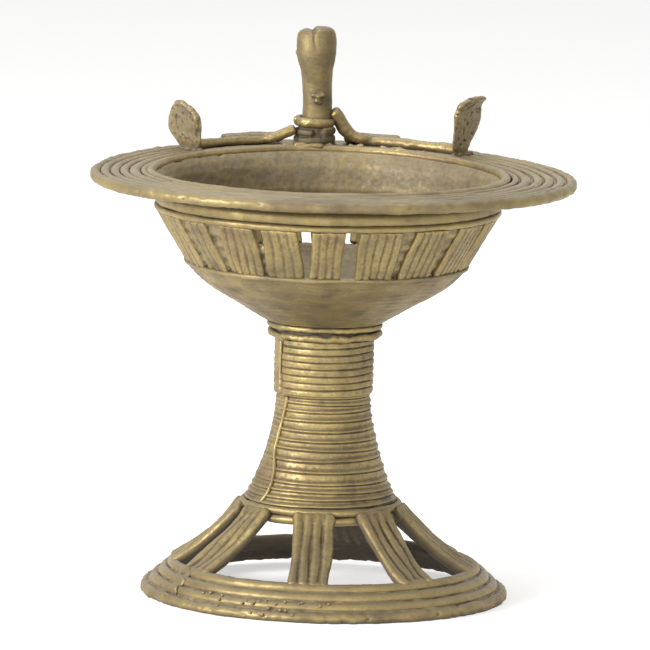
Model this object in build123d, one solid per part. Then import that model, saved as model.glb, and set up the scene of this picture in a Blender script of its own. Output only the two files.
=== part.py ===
from build123d import *

import math
import os

# A footed brass oil lamp, cast in one pour from a model built up of wax threads and strips.
# Every node is one of the elements that the model was built from. The casting fuses them,
# so they seat face to face and none of them moves.
#
# Frame: +Z is up, the foot stands on Z = 0, the Z axis runs up the stem, and the wick post
# stands at the back of the rim, at +Y. Azimuths are counted from the front (-Y) towards +X.

# ---------------------------------------------------------------- driving dimensions (mm)
# Foot: threads laid side by side on a sloping band
foot_radius = 45.9
foot_thread_diameter = 3.0
foot_thread_count = 4
foot_slope = 41.6
foot_thread_bed = 0.6
foot_ground_flat = 0.45
foot_band_thickness = 1.4
foot_band_ground_gap = 0.35

# Struts from the foot up to the stem
strut_azimuths = (-12, 32, 73, 119, 162, 222, 265, 300)
strut_top_radius = 20.4
strut_top_height = 24.1
strut_foot_lap = -0.5
strut_bow_radius = 60.0
strut_thread_diameter = 2.75
strut_thread_pitch = 2.56
strut_thread_count = 4
strut_web_thickness = 1.5

# Rings round the lower end of the stem
base_ring_diameter = 2.0
base_ring_bottom = 20.2
stem_end_radius = 18.5

# Stem: a hollow core dressed with flat hoops below and round hoops above. With the bowl on
# it, it stands a little to one side of the foot and of the rim.
stem_offset = -1.25
stem_wall = 1.8
waist_height = 51.2
waist_radius = 11.6
flare_radius = 71.0
flare_foot_radius = 19.0
flat_hoop_count = 12
flat_hoop_thickness = 1.0
flat_hoop_growth = 0.035
hoop_joint = 0.3
hoop_bead_diameter = 0.9
round_hoop_count = 8
round_hoop_pitch = 1.76
round_hoop_thickness = 1.5
sleeve_step = 0.9
seam_azimuth = 303.0
seam_angle = 17.0
seam_proud = 0.45

# Collar under the bowl
collar_seat_radius = 12.9
collar_thread_diameter = 1.7
collar_gap = 0.5

# Oil bowl
bowl_foot_radius = 14.6
bowl_depth = 15.0
bowl_top_radius = 35.4
bowl_wall = 2.4
bowl_side_angle = 30.5
bowl_side_length = 16.3
bowl_lip_height = 1.3
bowl_lip_step = 0.5

# Gallery of slats above the oil bowl; the gaps between the slats are uneven
gap_azimuths = (
    -79.5, -64.5, -48.8, -30.6, -13.8, 2.7, 22.8, 42.3, 61.9, 79.6, 97.5,
    115.5, 133.3, 149.6, 165.8, 182.4, 200.4, 216.9, 232.5, 249.3, 265.3,
)
slat_gap = 0.8
slat_thickness = 1.9
slat_thread_width = 2.2
slat_groove_diameter = 0.7
slat_groove_run_out = 1.0
slat_head = 1.6
gallery_height = 12.6
gallery_top_radius = 43.0

# Neck and its two outer threads
neck_wall = 1.4
neck_inset = 0.95
neck_thread_lower = 1.7
neck_thread_upper = 2.8
neck_thread_proud = 1.4
neck_cove = 2.75

# Rim: a flat flange with threads laid round it
flange_thickness = 1.2
mouth_radius = 43.1
rim_thread_height = 1.6
lip_thread_diameter = 2.3
lip_thread_rise = 0.5
rim_thread_diameters = (1.5, 2.85, 2.35, 2.35, 2.25)
rim_thread_slack = 0.25
edge_roll_diameter = 2.75
edge_roll_bed = 0.45
thread_gap = 0.05
thread_rounding = 0.42

# Wick post at the back of the rim
post_centre_radius = 49.0
post_shaft_diameter = 7.5
post_height = 30.5
post_bulb_diameter = 9.9
post_bulb_below_top = 5.8
post_bulb_length = 10.4
post_crown_diameter = 7.8
post_crown_round = 1.3
post_crown_taper = 0.25
post_cleft_width = 1.1
post_cleft_depth = 2.4
post_cleft_offset = 1.5
post_seat_depth = 0.7
wrap_diameter = 1.9
wrap_bed = 0.2
wrap_count = 3
post_collar_height = 2.1
post_collar_diameter = 10.6

# Snakes lying on the rim, with raised hoods
hood_from_post_left = 38.0
hood_from_post_right = 44.5
hood_rim_radius = 52.8
hood_width = 9.8
hood_height_left = 12.6
hood_height_right = 15.2
hood_thickness = 1.5
hood_foot_width = 3.2
hood_outset = 1.2
hood_outline = ((0.3, 0.42), (0.56, 0.5), (0.86, 0.36))  # height, half width, as shares
hood_splay = 0.6
hood_lean = 0.3
hood_tip_rise = 0.3
hood_curl_left = 1.6
hood_curl_right = 4.8
hood_seat_depth = 0.6
snake_diameter = 2.5
snake_bed = 0.3
snake_rim_radius = 51.4
snake_foot_azimuths = (27.0, 14.5)
snake_bend_radii = (40.0, 9.0, 4.2)
snake_post_offset = 8.4
snake_climb_left = 6.8
snake_climb_right = 9.6
tail_diameter = 3.0
tail_length = 15.0
tail_rim_radius = 54.2

# ---------------------------------------------------------------- sizes that follow
reach = 400.0

foot_thread_radius = foot_thread_diameter / 2
foot_thread_pitch = foot_thread_diameter + thread_gap
foot_start_radius = foot_radius - foot_thread_radius
foot_start_height = foot_thread_radius - foot_ground_flat
slope_cos = math.cos(math.radians(foot_slope))
slope_sin = math.sin(math.radians(foot_slope))

base_ring_pitch = base_ring_diameter + thread_gap
flare_foot_height = base_ring_bottom + 2 * base_ring_pitch

hoop_bed_radius = waist_radius - flat_hoop_thickness
sleeve_radius = waist_radius + sleeve_step
sleeve_bed_radius = sleeve_radius - round_hoop_thickness
sleeve_top = waist_height + round_hoop_count * round_hoop_pitch
collar_top = sleeve_top + 2 * collar_thread_diameter + collar_gap

bowl_bottom = collar_top
bowl_top = bowl_bottom + bowl_depth
gallery_top = bowl_top + gallery_height
neck_outer_radius = gallery_top_radius - neck_inset
neck_inner_radius = neck_outer_radius - neck_wall
flange_bottom = gallery_top + neck_thread_lower + neck_thread_upper + neck_cove
flange_top = flange_bottom + flange_thickness
rim_top = flange_top + rim_thread_height
rim_threads_end = (
    mouth_radius
    + lip_thread_diameter
    + sum(rim_thread_diameters)
    + (len(rim_thread_diameters) + 1) * rim_thread_slack
)
flange_radius = rim_threads_end + edge_roll_bed

stem_axis = Pos(stem_offset, 0, 0)
parts = {}


# ---------------------------------------------------------------- helpers
def ring(section, turn=360):
    """A section drawn as (radius, height), turned about the Z axis."""
    return revolve(Plane.XZ * section, Axis.Z, turn)


def over(height):
    """The part of a section plane above a height."""
    return Pos(0, height + reach / 2) * Rectangle(2 * reach, reach)


def beyond(radius):
    """The part of a section plane outside a radius."""
    return Pos(radius + reach / 2, 0) * Rectangle(reach, 2 * reach)


def between(low, high):
    """The part of a section plane between two heights."""
    return Pos(0, (low + high) / 2) * Rectangle(2 * reach, high - low)


def turned(shape, azimuth):
    """A shape built towards +X, turned to an azimuth counted from the front."""
    return Rot(0, 0, azimuth - 90) * shape


def at_azimuth(radius, azimuth, height):
    """The point at a radius, an azimuth and a height."""
    angle = math.radians(azimuth)
    return (radius * math.sin(angle), -radius * math.cos(angle), height)


def flattened_thread(proud, height):
    """The section of a thread pressed flat, centred on the face it stands proud of."""
    tall = height - thread_gap
    return RectangleRounded(2 * proud, tall, thread_rounding * min(tall, 2 * proud))


def outlined(*edges):
    """A face from edges that follow one another round it."""
    return make_face([edge for group in edges for edge in group.edges()])


def without(shape, *others):
    """A shape less the pieces that it is seated on."""
    for other in others:
        shape = shape - other
    return shape


# ---------------------------------------------------------------- foot
def on_slope(along, out):
    """A place on the foot's slope: outwards and down along it, and square out of it."""
    return Pos(
        foot_start_radius + along * slope_cos + out * slope_sin,
        foot_start_height - along * slope_sin + out * slope_cos,
    )


band_face = foot_thread_bed - foot_thread_radius
band_outside = (
    on_slope(0, band_face) * Rot(0, 0, -foot_slope) * Pos(0, reach / 2)
    * Rectangle(2 * reach, reach)
)
foot_threads = []
for i in range(foot_thread_count):
    thread = on_slope(-i * foot_thread_pitch, 0) * Circle(foot_thread_radius)
    foot_threads.append(ring(thread & band_outside & over(0)))
    parts[f"foot_thread_{i + 1}"] = foot_threads[i]

band_length = (foot_thread_count - 1) * foot_thread_pitch + 2 * foot_thread_radius
band_middle = on_slope(
    -(foot_thread_count - 1) * foot_thread_pitch / 2, band_face - foot_band_thickness / 2
)
band_section = band_middle * Rot(0, 0, -foot_slope) * Rectangle(band_length, foot_band_thickness)
foot_band = ring(band_section & over(foot_band_ground_gap))
parts["foot_band"] = foot_band


# ---------------------------------------------------------------- stem core and its hoops
def flare(inset):
    """The stem's flare, as an arc from its foot up to the waist, set in from the outside."""
    return RadiusArc(
        (flare_foot_radius - inset, flare_foot_height),
        (waist_radius - inset, waist_height),
        flare_radius,
    )


core_inset = flat_hoop_thickness
bore_inset = flat_hoop_thickness + stem_wall
bore_radius = waist_radius - bore_inset
core_outside = flare(core_inset)
core_bore = flare(bore_inset)
core_section = outlined(
    Polyline(
        core_bore @ 0,
        (stem_end_radius - stem_wall, base_ring_bottom),
        (stem_end_radius, base_ring_bottom),
        (stem_end_radius, flare_foot_height),
        core_outside @ 0,
    ),
    core_outside,
    Polyline(
        core_outside @ 1,
        (sleeve_bed_radius, waist_height),
        (sleeve_bed_radius, sleeve_top),
        (collar_seat_radius, sleeve_top),
        (collar_seat_radius, collar_top),
        (bore_radius, collar_top),
        core_bore @ 1,
    ),
    core_bore,
)
stem_core = stem_axis * ring(core_section)
parts["stem_core"] = stem_core

base_rings = []
base_ring_outset = base_ring_diameter / 2 - thread_gap
for i in range(2):
    height = base_ring_bottom + base_ring_diameter / 2 + i * base_ring_pitch
    thread = Pos(stem_end_radius + base_ring_outset, height) * Circle(base_ring_diameter / 2)
    base_rings.append(stem_axis * ring(thread & beyond(stem_end_radius)))
parts["base_ring_lower"] = base_rings[0]
parts["base_ring_upper"] = base_rings[1]

# Flat hoops: each is a little taller than the one below it, with a raised bead on its foot
hoop_outside = flare(0)
flare_centre = hoop_outside.arc_center


def flare_at(height):
    """The outer radius of the flare at a height."""
    return flare_centre.X - math.sqrt(flare_radius**2 - (height - flare_centre.Y) ** 2)


hoop_field = outlined(
    hoop_outside,
    Line(hoop_outside @ 1, core_outside @ 1),
    core_outside,
    Line(core_outside @ 0, hoop_outside @ 0),
)
hoop_shares = [1 + flat_hoop_growth * i for i in range(flat_hoop_count)]
hoop_unit = (waist_height - flare_foot_height) / sum(hoop_shares)
seam_start = seam_azimuth - seam_angle / 2


def seam_strip(section):
    """A strip down one side of the stem, of the seam's angle."""
    return stem_axis * turned(ring(section, seam_angle), seam_start)


flare_seam_outside = flare(-seam_proud)
flare_seam = seam_strip(
    outlined(
        flare_seam_outside,
        Line(flare_seam_outside @ 1, core_outside @ 1),
        core_outside,
        Line(core_outside @ 0, flare_seam_outside @ 0),
    )
)
sleeve_seam_width = round_hoop_thickness
sleeve_seam = seam_strip(
    Pos(sleeve_bed_radius + sleeve_seam_width / 2, (waist_height + sleeve_top) / 2)
    * Rectangle(sleeve_seam_width, sleeve_top - waist_height)
)

flat_hoops = []
hoop_low = flare_foot_height
for share in hoop_shares:
    hoop_high = hoop_low + share * hoop_unit
    bead_height = hoop_low + hoop_joint + hoop_bead_diameter / 2
    body = hoop_field & between(hoop_low + hoop_joint, hoop_high)
    bead = Pos(flare_at(bead_height), bead_height) * Circle(hoop_bead_diameter / 2)
    hoop = stem_axis * ring(body + bead)
    flat_hoops.append(without(hoop, stem_core, flare_seam))
    hoop_low = hoop_high
parts["stem_flat_hoops"] = Compound(children=flat_hoops)

round_hoops = []
for i in range(round_hoop_count):
    height = waist_height + (i + 0.5) * round_hoop_pitch
    rib = Pos(sleeve_bed_radius, height) * flattened_thread(round_hoop_thickness, round_hoop_pitch)
    round_hoops.append(stem_axis * ring(rib & beyond(sleeve_bed_radius)) - sleeve_seam)
parts["stem_round_hoops"] = Compound(children=round_hoops)
parts["stem_seam_lower"] = flare_seam
parts["stem_seam_upper"] = sleeve_seam

for name, height in (
    ("collar_ring_lower", sleeve_top + collar_thread_diameter / 2),
    ("collar_ring_upper", collar_top - collar_thread_diameter / 2),
):
    thread = Pos(collar_seat_radius + collar_thread_diameter / 2 - thread_gap, height)
    section = thread * Circle(collar_thread_diameter / 2) & beyond(collar_seat_radius)
    parts[name] = stem_axis * ring(section)


# ---------------------------------------------------------------- struts
hub_radius = stem_end_radius + base_ring_outset
hub = stem_axis * Pos(0, 0, (base_ring_bottom + flare_foot_height) / 2) * Cylinder(
    hub_radius, flare_foot_height - base_ring_bottom
)
strut_foot = on_slope(-(foot_thread_count - 1) * foot_thread_pitch, foot_thread_radius).position
strut_section = Pos(0, strut_web_thickness / 2 - strut_thread_diameter) * Rectangle(
    strut_thread_count * strut_thread_pitch, strut_web_thickness
)
for i in range(strut_thread_count):
    offset = (i - (strut_thread_count - 1) / 2) * strut_thread_pitch
    strut_section += Pos(offset, -strut_thread_diameter / 2) * Circle(strut_thread_diameter / 2)


def strut(azimuth):
    """A strip of threads from the base rings down to the top thread of the foot."""
    top_radius = strut_top_radius + stem_offset * math.sin(math.radians(azimuth))
    path = Plane.XZ * RadiusArc(
        (top_radius, strut_top_height),
        (strut_foot.X + strut_foot_lap, strut_foot.Y + strut_foot_lap),
        -strut_bow_radius,
    )
    start = Plane(origin=path @ 0, x_dir=(0, 1, 0), z_dir=path % 0)
    strip = turned(sweep(start * strut_section, path), azimuth)
    return without(strip, hub, *base_rings, *foot_threads[-2:], foot_band)


for i, azimuth in enumerate(strut_azimuths):
    parts[f"strut_{i + 1}"] = strut(azimuth)


# ---------------------------------------------------------------- oil bowl
def bowl_side(inset, lip_radius, lip_height):
    """The bowl's side from its foot: straight at first, then an arc up to the lip."""
    angle = math.radians(bowl_side_angle)
    bend = (
        bowl_foot_radius + bowl_side_length * math.cos(angle) - inset * math.sin(angle),
        bowl_bottom + bowl_side_length * math.sin(angle) + inset * math.cos(angle),
    )
    floor = bowl_bottom + inset
    start = (bend[0] - (bend[1] - floor) / math.tan(angle), floor)
    side = Line(start, bend)
    return side, TangentArc(bend, (lip_radius, lip_height), tangent=side % 1)


outer_side, outer_turn = bowl_side(0, bowl_top_radius - bowl_lip_step, bowl_top - bowl_lip_height)
inner_side, inner_turn = bowl_side(bowl_wall, bowl_top_radius - bowl_wall, bowl_top)
bowl_section = outlined(
    Polyline(inner_side @ 0, (0, bowl_bottom + bowl_wall), (0, bowl_bottom), outer_side @ 0),
    outer_side,
    outer_turn,
    Polyline(
        outer_turn @ 1,
        (bowl_top_radius, bowl_top - bowl_lip_height),
        (bowl_top_radius, bowl_top),
        inner_turn @ 1,
    ),
    inner_turn,
    inner_side,
)
parts["oil_bowl"] = stem_axis * ring(bowl_section)

# ---------------------------------------------------------------- gallery of slats
gallery_foot_radius = bowl_top_radius - bowl_lip_step
gallery_rise = Vector(gallery_top_radius - gallery_foot_radius, 0, gallery_height)
slat_run_out = gallery_rise.normalized() * slat_groove_run_out
slat_depth = slat_thickness * gallery_rise.length / gallery_height
gallery_section = outlined(
    Polyline(
        (gallery_foot_radius, bowl_top),
        (gallery_top_radius, gallery_top),
        (gallery_top_radius - slat_depth, gallery_top),
        (gallery_foot_radius - slat_depth, bowl_top),
        close=True,
    )
)
slat_inner_radius = gallery_foot_radius - slat_depth
gap_after = gap_azimuths[1:] + (gap_azimuths[0] + 360,)
for i, (first, last) in enumerate(zip(gap_azimuths, gap_after)):
    width = 2 * slat_inner_radius * math.sin(math.radians(last - first) / 2) - slat_gap
    sector = Rot(0, 0, -(last - first)) * ring(gallery_section, 2 * (last - first))
    middle = Pos(gallery_top_radius / 2, 0, bowl_top + gallery_height / 2)
    slat = sector & middle * Box(gallery_top_radius * 2, width, gallery_height * 2)
    threads = max(2, round(width / slat_thread_width))
    for j in range(1, threads):
        across = width * (j / threads - 0.5)
        start = Vector(gallery_foot_radius, across, bowl_top) - slat_run_out
        groove = Plane(origin=start, x_dir=(0, 1, 0), z_dir=gallery_rise)
        slat -= groove * extrude(
            Circle(slat_groove_diameter / 2),
            gallery_rise.length + slat_groove_run_out - slat_head,
        )
    parts[f"slat_{i + 1:02d}"] = stem_axis * turned(slat, (first + last) / 2)


# ---------------------------------------------------------------- neck threads and rim
def neck_thread(low, high):
    """A rounded thread round the outside of the neck."""
    section = Pos(neck_outer_radius, (low + high) / 2) * flattened_thread(
        neck_thread_proud, high - low
    )
    return stem_axis * ring(section & beyond(neck_outer_radius))


neck_joint = gallery_top + neck_thread_lower
parts["neck_thread_lower"] = neck_thread(gallery_top, neck_joint)
parts["neck_thread_upper"] = neck_thread(neck_joint, neck_joint + neck_thread_upper)

neck_height = flange_top - gallery_top
neck_place = stem_axis * Pos(0, 0, (flange_top + gallery_top) / 2)
flange_place = Pos(0, 0, (flange_bottom + flange_top) / 2)
rim_flange = without(
    neck_place * Cylinder(neck_outer_radius, neck_height)
    + flange_place * Cylinder(flange_radius, flange_thickness),
    neck_place * Cylinder(neck_inner_radius, neck_height),
)
parts["rim_flange"] = rim_flange


def rim_thread(inner_radius, diameter, top, share):
    """A thread laid on the flange, cut flat where it lies on it.

    The share runs from 0 at the mouth, which is round the stem's axis, to 1 at the rim's edge,
    which is round the foot's.
    """
    radius = diameter / 2
    section = Pos(inner_radius + radius, top - radius) * Circle(radius) & over(flange_top)
    return Pos(stem_offset * (1 - share), 0, 0) * ring(section)


lip_thread = rim_thread(mouth_radius, lip_thread_diameter, rim_top + lip_thread_rise, 0)
parts["lip_thread"] = lip_thread
rim_threads = []
thread_start = mouth_radius + lip_thread_diameter + rim_thread_slack
for i, diameter in enumerate(rim_thread_diameters):
    share = (i + 1) / (len(rim_thread_diameters) + 1)
    rim_threads.append(rim_thread(thread_start, diameter, rim_top, share))
    parts[f"rim_thread_{i + 1}"] = rim_threads[i]
    thread_start += diameter + rim_thread_slack
edge_roll_radius = edge_roll_diameter / 2
edge_roll_centre = Pos(rim_threads_end + edge_roll_radius, (flange_bottom + rim_top) / 2)
edge_roll = ring(edge_roll_centre * Circle(edge_roll_radius) & beyond(flange_radius))
parts["edge_roll"] = edge_roll

# ---------------------------------------------------------------- wick post
shaft_radius = post_shaft_diameter / 2
post_place = Pos(0, post_centre_radius, 0)
post_top = rim_top + post_height
bulb_height = post_top - post_bulb_below_top
bulb = Spline(
    (shaft_radius, bulb_height - post_bulb_length / 2),
    (post_bulb_diameter / 2, bulb_height),
    (post_crown_diameter / 2, post_top - post_crown_round),
    tangents=[(0, 1), (-post_crown_taper, 1)],
)
crown = TangentArc(bulb @ 1, (0, post_top), tangent=bulb % 1)
post_section = outlined(
    Polyline(
        (0, post_top), (0, rim_top - post_seat_depth),
        (shaft_radius, rim_top - post_seat_depth), bulb @ 0,
    ),
    bulb,
    crown,
)
cleft = Pos(-post_cleft_offset, 0, post_top) * Box(
    post_cleft_width, post_crown_diameter * 2, 2 * post_cleft_depth
)
post = without(post_place * (ring(post_section) - cleft), lip_thread, *rim_threads)
parts["wick_post"] = post

wraps = []
for i in range(wrap_count):
    thread = Pos(shaft_radius + wrap_diameter / 2 - wrap_bed, wrap_diameter * (i + 0.5))
    wrap = ring(thread * Circle((wrap_diameter - thread_gap) / 2) & beyond(shaft_radius))
    wraps.append(Pos(0, 0, rim_top) * post_place * wrap - lip_thread)
collar_low = wrap_count * wrap_diameter
collar_section = Pos(shaft_radius, collar_low + post_collar_height / 2) * flattened_thread(
    (post_collar_diameter - post_shaft_diameter) / 2, post_collar_height
)
post_collar = Pos(0, 0, rim_top) * post_place * ring(collar_section & beyond(shaft_radius))
parts["post_wraps"] = Compound(children=[*wraps, post_collar])


# ---------------------------------------------------------------- snakes on the rim
def hood_side(height, side):
    """One side of a hood's outline, from its foot to its tip; side is 1 outwards, -1 inwards."""
    return Spline(
        (side * hood_foot_width / 2, -hood_seat_depth),
        *[
            (hood_outset * tall + side * hood_width * wide, height * tall)
            for tall, wide in hood_outline
        ],
        (hood_outset, height),
        tangents=[(side * hood_splay, 1), (-side, 0)],
    )


def raised_hood(height, curl):
    """A leaf of metal that stands up from the rim and curls forward at its tip."""
    path = Plane.YZ * Spline(
        (0, -hood_seat_depth),
        (-hood_lean, height * 0.5),
        (-curl, height - hood_thickness / 2),
        tangents=[(0, 1), (-1, hood_tip_rise)],
    )
    start = Plane(origin=path @ 0, x_dir=(1, 0, 0), z_dir=path % 0)
    strip = sweep(start * Rectangle(4 * hood_width, hood_thickness), path)
    outer = hood_side(height, 1)
    inner = hood_side(height, -1)
    leaf_face = outlined(outer, inner, Line(inner @ 0, outer @ 0))
    leaf = extrude(Plane.XZ * leaf_face, hood_width, both=True)
    return Pos(hood_rim_radius, 0, rim_top) * (strip & leaf)


def on_side(shape, side):
    """A shape built on the +X side, kept there for side 1 or mirrored for side -1."""
    return shape if side > 0 else mirror(shape, Plane.YZ)


def snake(side, from_post, height, curl, climb):
    """The hood and the threads of one snake; its hood is at an angle round from the post."""
    hood = on_side(turned(raised_hood(height, curl), 180 - from_post), side)
    hood = without(hood, *rim_threads)
    radius = snake_diameter / 2
    lie = rim_top + radius - snake_bed
    path = FilletPolyline(
        at_azimuth(snake_rim_radius, 180 - from_post, lie),
        at_azimuth(snake_rim_radius, 180 - snake_foot_azimuths[0], lie),
        at_azimuth(snake_rim_radius, 180 - snake_foot_azimuths[1], lie),
        (snake_post_offset, post_centre_radius + radius, lie + snake_bed),
        (shaft_radius + radius, post_centre_radius, rim_top + climb),
        radius=snake_bend_radii,
    )
    body = sweep(Plane(origin=path @ 0, z_dir=path % 0) * Circle(radius), path)
    body = without(on_side(body, side), hood, *rim_threads, *wraps, post_collar, post)
    tail_start = math.degrees(post_collar_diameter / 2 / tail_rim_radius)
    tail_turn = math.degrees(tail_length / tail_rim_radius)
    section = Pos(tail_rim_radius, rim_top + tail_diameter / 2 - snake_bed)
    tail = ring(section * Circle(tail_diameter / 2), tail_turn)
    tail = on_side(turned(tail, 180 - tail_start - tail_turn), side)
    tail = without(tail, *rim_threads, *wraps, post_collar, body)
    return hood, Compound(children=[body, tail])


parts["hood_right"], parts["snake_right"] = snake(
    1, hood_from_post_right, hood_height_right, hood_curl_right, snake_climb_right
)
parts["hood_left"], parts["snake_left"] = snake(
    -1, hood_from_post_left, hood_height_left, hood_curl_left, snake_climb_left
)

# ---------------------------------------------------------------- one file for each node
os.makedirs("parts", exist_ok=True)
for name, solid in parts.items():
    export_step(solid, f"parts/{name}.step")
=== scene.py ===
import math

import bmesh
import bpy
import numpy as np
from mathutils import Matrix, Vector


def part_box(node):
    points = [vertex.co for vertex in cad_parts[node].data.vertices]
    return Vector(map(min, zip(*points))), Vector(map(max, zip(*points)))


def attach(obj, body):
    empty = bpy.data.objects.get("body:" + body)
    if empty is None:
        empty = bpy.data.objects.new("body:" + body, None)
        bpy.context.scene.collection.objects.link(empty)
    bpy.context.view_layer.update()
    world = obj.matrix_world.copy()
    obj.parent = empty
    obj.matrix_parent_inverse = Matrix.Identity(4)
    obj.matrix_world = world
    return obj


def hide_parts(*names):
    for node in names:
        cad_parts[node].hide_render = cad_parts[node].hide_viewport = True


bl_info = {
    "name": "Thread-cast oil lamp",
    "version": (1, 0, 0),
    "blender": (4, 5, 0),
    "location": "View3D > Sidebar > Oil lamp",
    "description": "Dresses a footed brass oil lamp built of cast wax threads",
    "category": "Add Mesh",
}

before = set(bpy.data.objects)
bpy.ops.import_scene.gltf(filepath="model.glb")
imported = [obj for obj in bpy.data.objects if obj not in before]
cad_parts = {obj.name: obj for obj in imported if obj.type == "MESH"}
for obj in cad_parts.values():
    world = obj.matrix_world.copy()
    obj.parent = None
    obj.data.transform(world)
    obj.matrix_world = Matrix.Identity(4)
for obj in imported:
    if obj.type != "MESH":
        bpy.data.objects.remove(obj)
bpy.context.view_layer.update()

MM = 0.001
TURN = 2 * math.pi
UP = np.array([0, 0, 1.0])

# The material that dresses each of the record's slots
COATS = {
    "aged_brass": "aged thread-cast brass",
    "rubbed_brass": "rubbed thread-cast brass",
    "sooted_brass": "oiled thread-cast brass",
}


# ---------------------------------------------------------------- random wax
def wax_noise(points, grain, seed):
    """Smooth random values from -1 to 1 at points, in bumps about as wide as the grain."""
    cell = np.floor(points / grain).astype(np.int64)
    part = points / grain - cell
    ease = part * part * (3 - 2 * part)
    total = np.zeros(len(points))
    for corner in range(8):
        step = np.array([corner & 1, corner >> 1 & 1, corner >> 2 & 1])
        spot = cell + step
        key = spot[:, 0] * 73856093 ^ spot[:, 1] * 19349663 ^ spot[:, 2] * 83492791
        key = (key ^ seed * 2654435761) & 0x7FFFFFFF
        key = (key ^ key >> 13) * 1274126177 & 0x7FFFFFFF
        value = ((key ^ key >> 16) & 0xFFFF) / 32767.5 - 1
        total += np.prod(np.where(step == 1, ease, 1 - ease), axis=1) * value
    return total


def wax_mix(points, base, *bumps):
    """A base with random bumps added at points, each of (height, grain, seed)."""
    for height, grain, seed in bumps:
        base = base + height * wax_noise(points, grain, seed)
    return base


def hand_waves(angles, base, *waves):
    """A base with slow random waves round a ring added, each of (height, period, seed)."""
    circle = np.stack([np.cos(angles), np.sin(angles), 0 * angles], axis=1)
    for height, period, seed in waves:
        base = base + height * wax_noise(circle * 1000 / period + 40.5, 12.0, seed)
    return base


def ramp(value, width=1.0):
    """A value over a width, held between 0 and 1."""
    return np.clip(value / width, 0, 1)


def bump(value, centre, width):
    """A smooth bump of height 1."""
    return np.exp(-(((value - centre) / width) ** 2))


def pits(points, grain, depth, seed):
    """Small sunken pits: zero over most of the surface, and minus the depth in a pit."""
    return -depth * ramp(wax_noise(points, grain, seed) - 0.5, 0.5)


# ---------------------------------------------------------------- directions and paths
def unit(rows):
    """Rows of vectors, each made one long."""
    return rows / np.linalg.norm(rows, axis=1, keepdims=True)


def round_angles(count):
    """Angles spread evenly over a turn."""
    return np.arange(count) / count * TURN


def at_azimuth(azimuth):
    """Unit vectors outwards and sideways at an azimuth, or an array of them, in degrees."""
    angle = np.radians(azimuth)
    cos, sin, level = np.cos(angle), np.sin(angle), 0 * angle
    return np.stack([sin, -cos, level], -1), np.stack([cos, sin, level], -1)


def azimuth_of(points, centre=0.0):
    """The azimuth of each point in degrees, from the front towards +X, from -180 to 180."""
    return np.degrees(np.arctan2(points[:, 0] - centre, -points[:, 1]))


def degrees_past(azimuth, start):
    """How far azimuths are past a start, from -180 to 180 degrees."""
    return (azimuth - start + 540) % 360 - 180


def reach_of(points, centre=0.0):
    """How far each point is from an upright axis."""
    return np.hypot(points[:, 0] - centre, points[:, 1])


def frontness(points):
    """1 at the lamp's front, falling to 0 at its sides."""
    return ramp(-np.sin(np.arctan2(points[:, 1], points[:, 0])))


def held_in(points, limit):
    """Points drawn in where they are farther than a limit from the lamp's axis."""
    held = points.copy()
    held[:, :2] *= np.minimum(1, limit / reach_of(points))[:, None]
    return held


def run_of(path):
    """How far along a path each of its points is."""
    return np.concatenate([[0], np.cumsum(np.linalg.norm(np.diff(path, axis=0), axis=1))])


def resampled(corners, spacing, closed=True):
    """A polyline's points, spread evenly and about a spacing apart."""
    corners = np.array(corners, float)
    if closed:
        corners = np.vstack([corners, corners[:1]])
    run = run_of(corners)
    count = max(4, int(run[-1] / spacing))
    marks = np.linspace(0, run[-1], count, endpoint=not closed)
    return np.stack([np.interp(marks, run, column) for column in corners.T], 1)


def softened(path, passes):
    """A path with its points drawn towards their neighbours, and its ends left in place."""
    for _ in range(passes):
        path[1:-1] = (path[:-2] + 2 * path[1:-1] + path[2:]) / 4
    return path


def track(path, out):
    """The ways sideways and outwards along a path laid on a face that's turned out."""
    ahead = unit(np.gradient(path, axis=0))
    side = unit(np.cross(ahead, out))
    return side, np.cross(side, ahead)


def arc_centre(first, last, radius, side):
    """The centre of an arc between two flat points: side is 1 for its left, -1 for its right."""
    run = last - first
    length = np.linalg.norm(run)
    square = np.array([-run[1], run[0]]) / length
    return (first + last) / 2 + side * square * math.sqrt(radius**2 - (length / 2) ** 2)


# ---------------------------------------------------------------- skins
def grid_faces(rows, columns, close_rows, close_columns):
    """Quads over a grid of points, counted row by row."""
    row = np.arange(rows if close_rows else rows - 1)
    column = np.arange(columns if close_columns else columns - 1)
    i, j = np.meshgrid(row, column, indexing="ij")
    i, j = i.ravel(), j.ravel()
    i2, j2 = (i + 1) % rows, (j + 1) % columns
    return np.stack([i * columns + j, i2 * columns + j, i2 * columns + j2, i * columns + j2], 1)


def cap_faces(count):
    """Quads across a ring of an even count of points."""
    return np.array([[k - 1, k, count - k - 1, count - k] for k in range(1, count // 2)])


def loft_faces(rows, columns):
    """Quads over a row of sections, with both of its ends closed."""
    caps = cap_faces(columns)
    last = (rows - 1) * columns
    return np.concatenate([grid_faces(rows, columns, False, True), caps, caps[:, ::-1] + last])


def normals_of(points, faces):
    """The unit normal at each point."""
    across = points[faces[:, 2]] - points[faces[:, 0]]
    along = points[faces[:, 3]] - points[faces[:, 1]]
    flat = np.cross(across, along)
    normals = np.zeros_like(points)
    for k in range(4):
        for axis in range(3):
            normals[:, axis] += np.bincount(faces[:, k], flat[:, axis], len(points))
    length = np.linalg.norm(normals, axis=1, keepdims=True)
    return normals / np.maximum(length, 1e-9)


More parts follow.
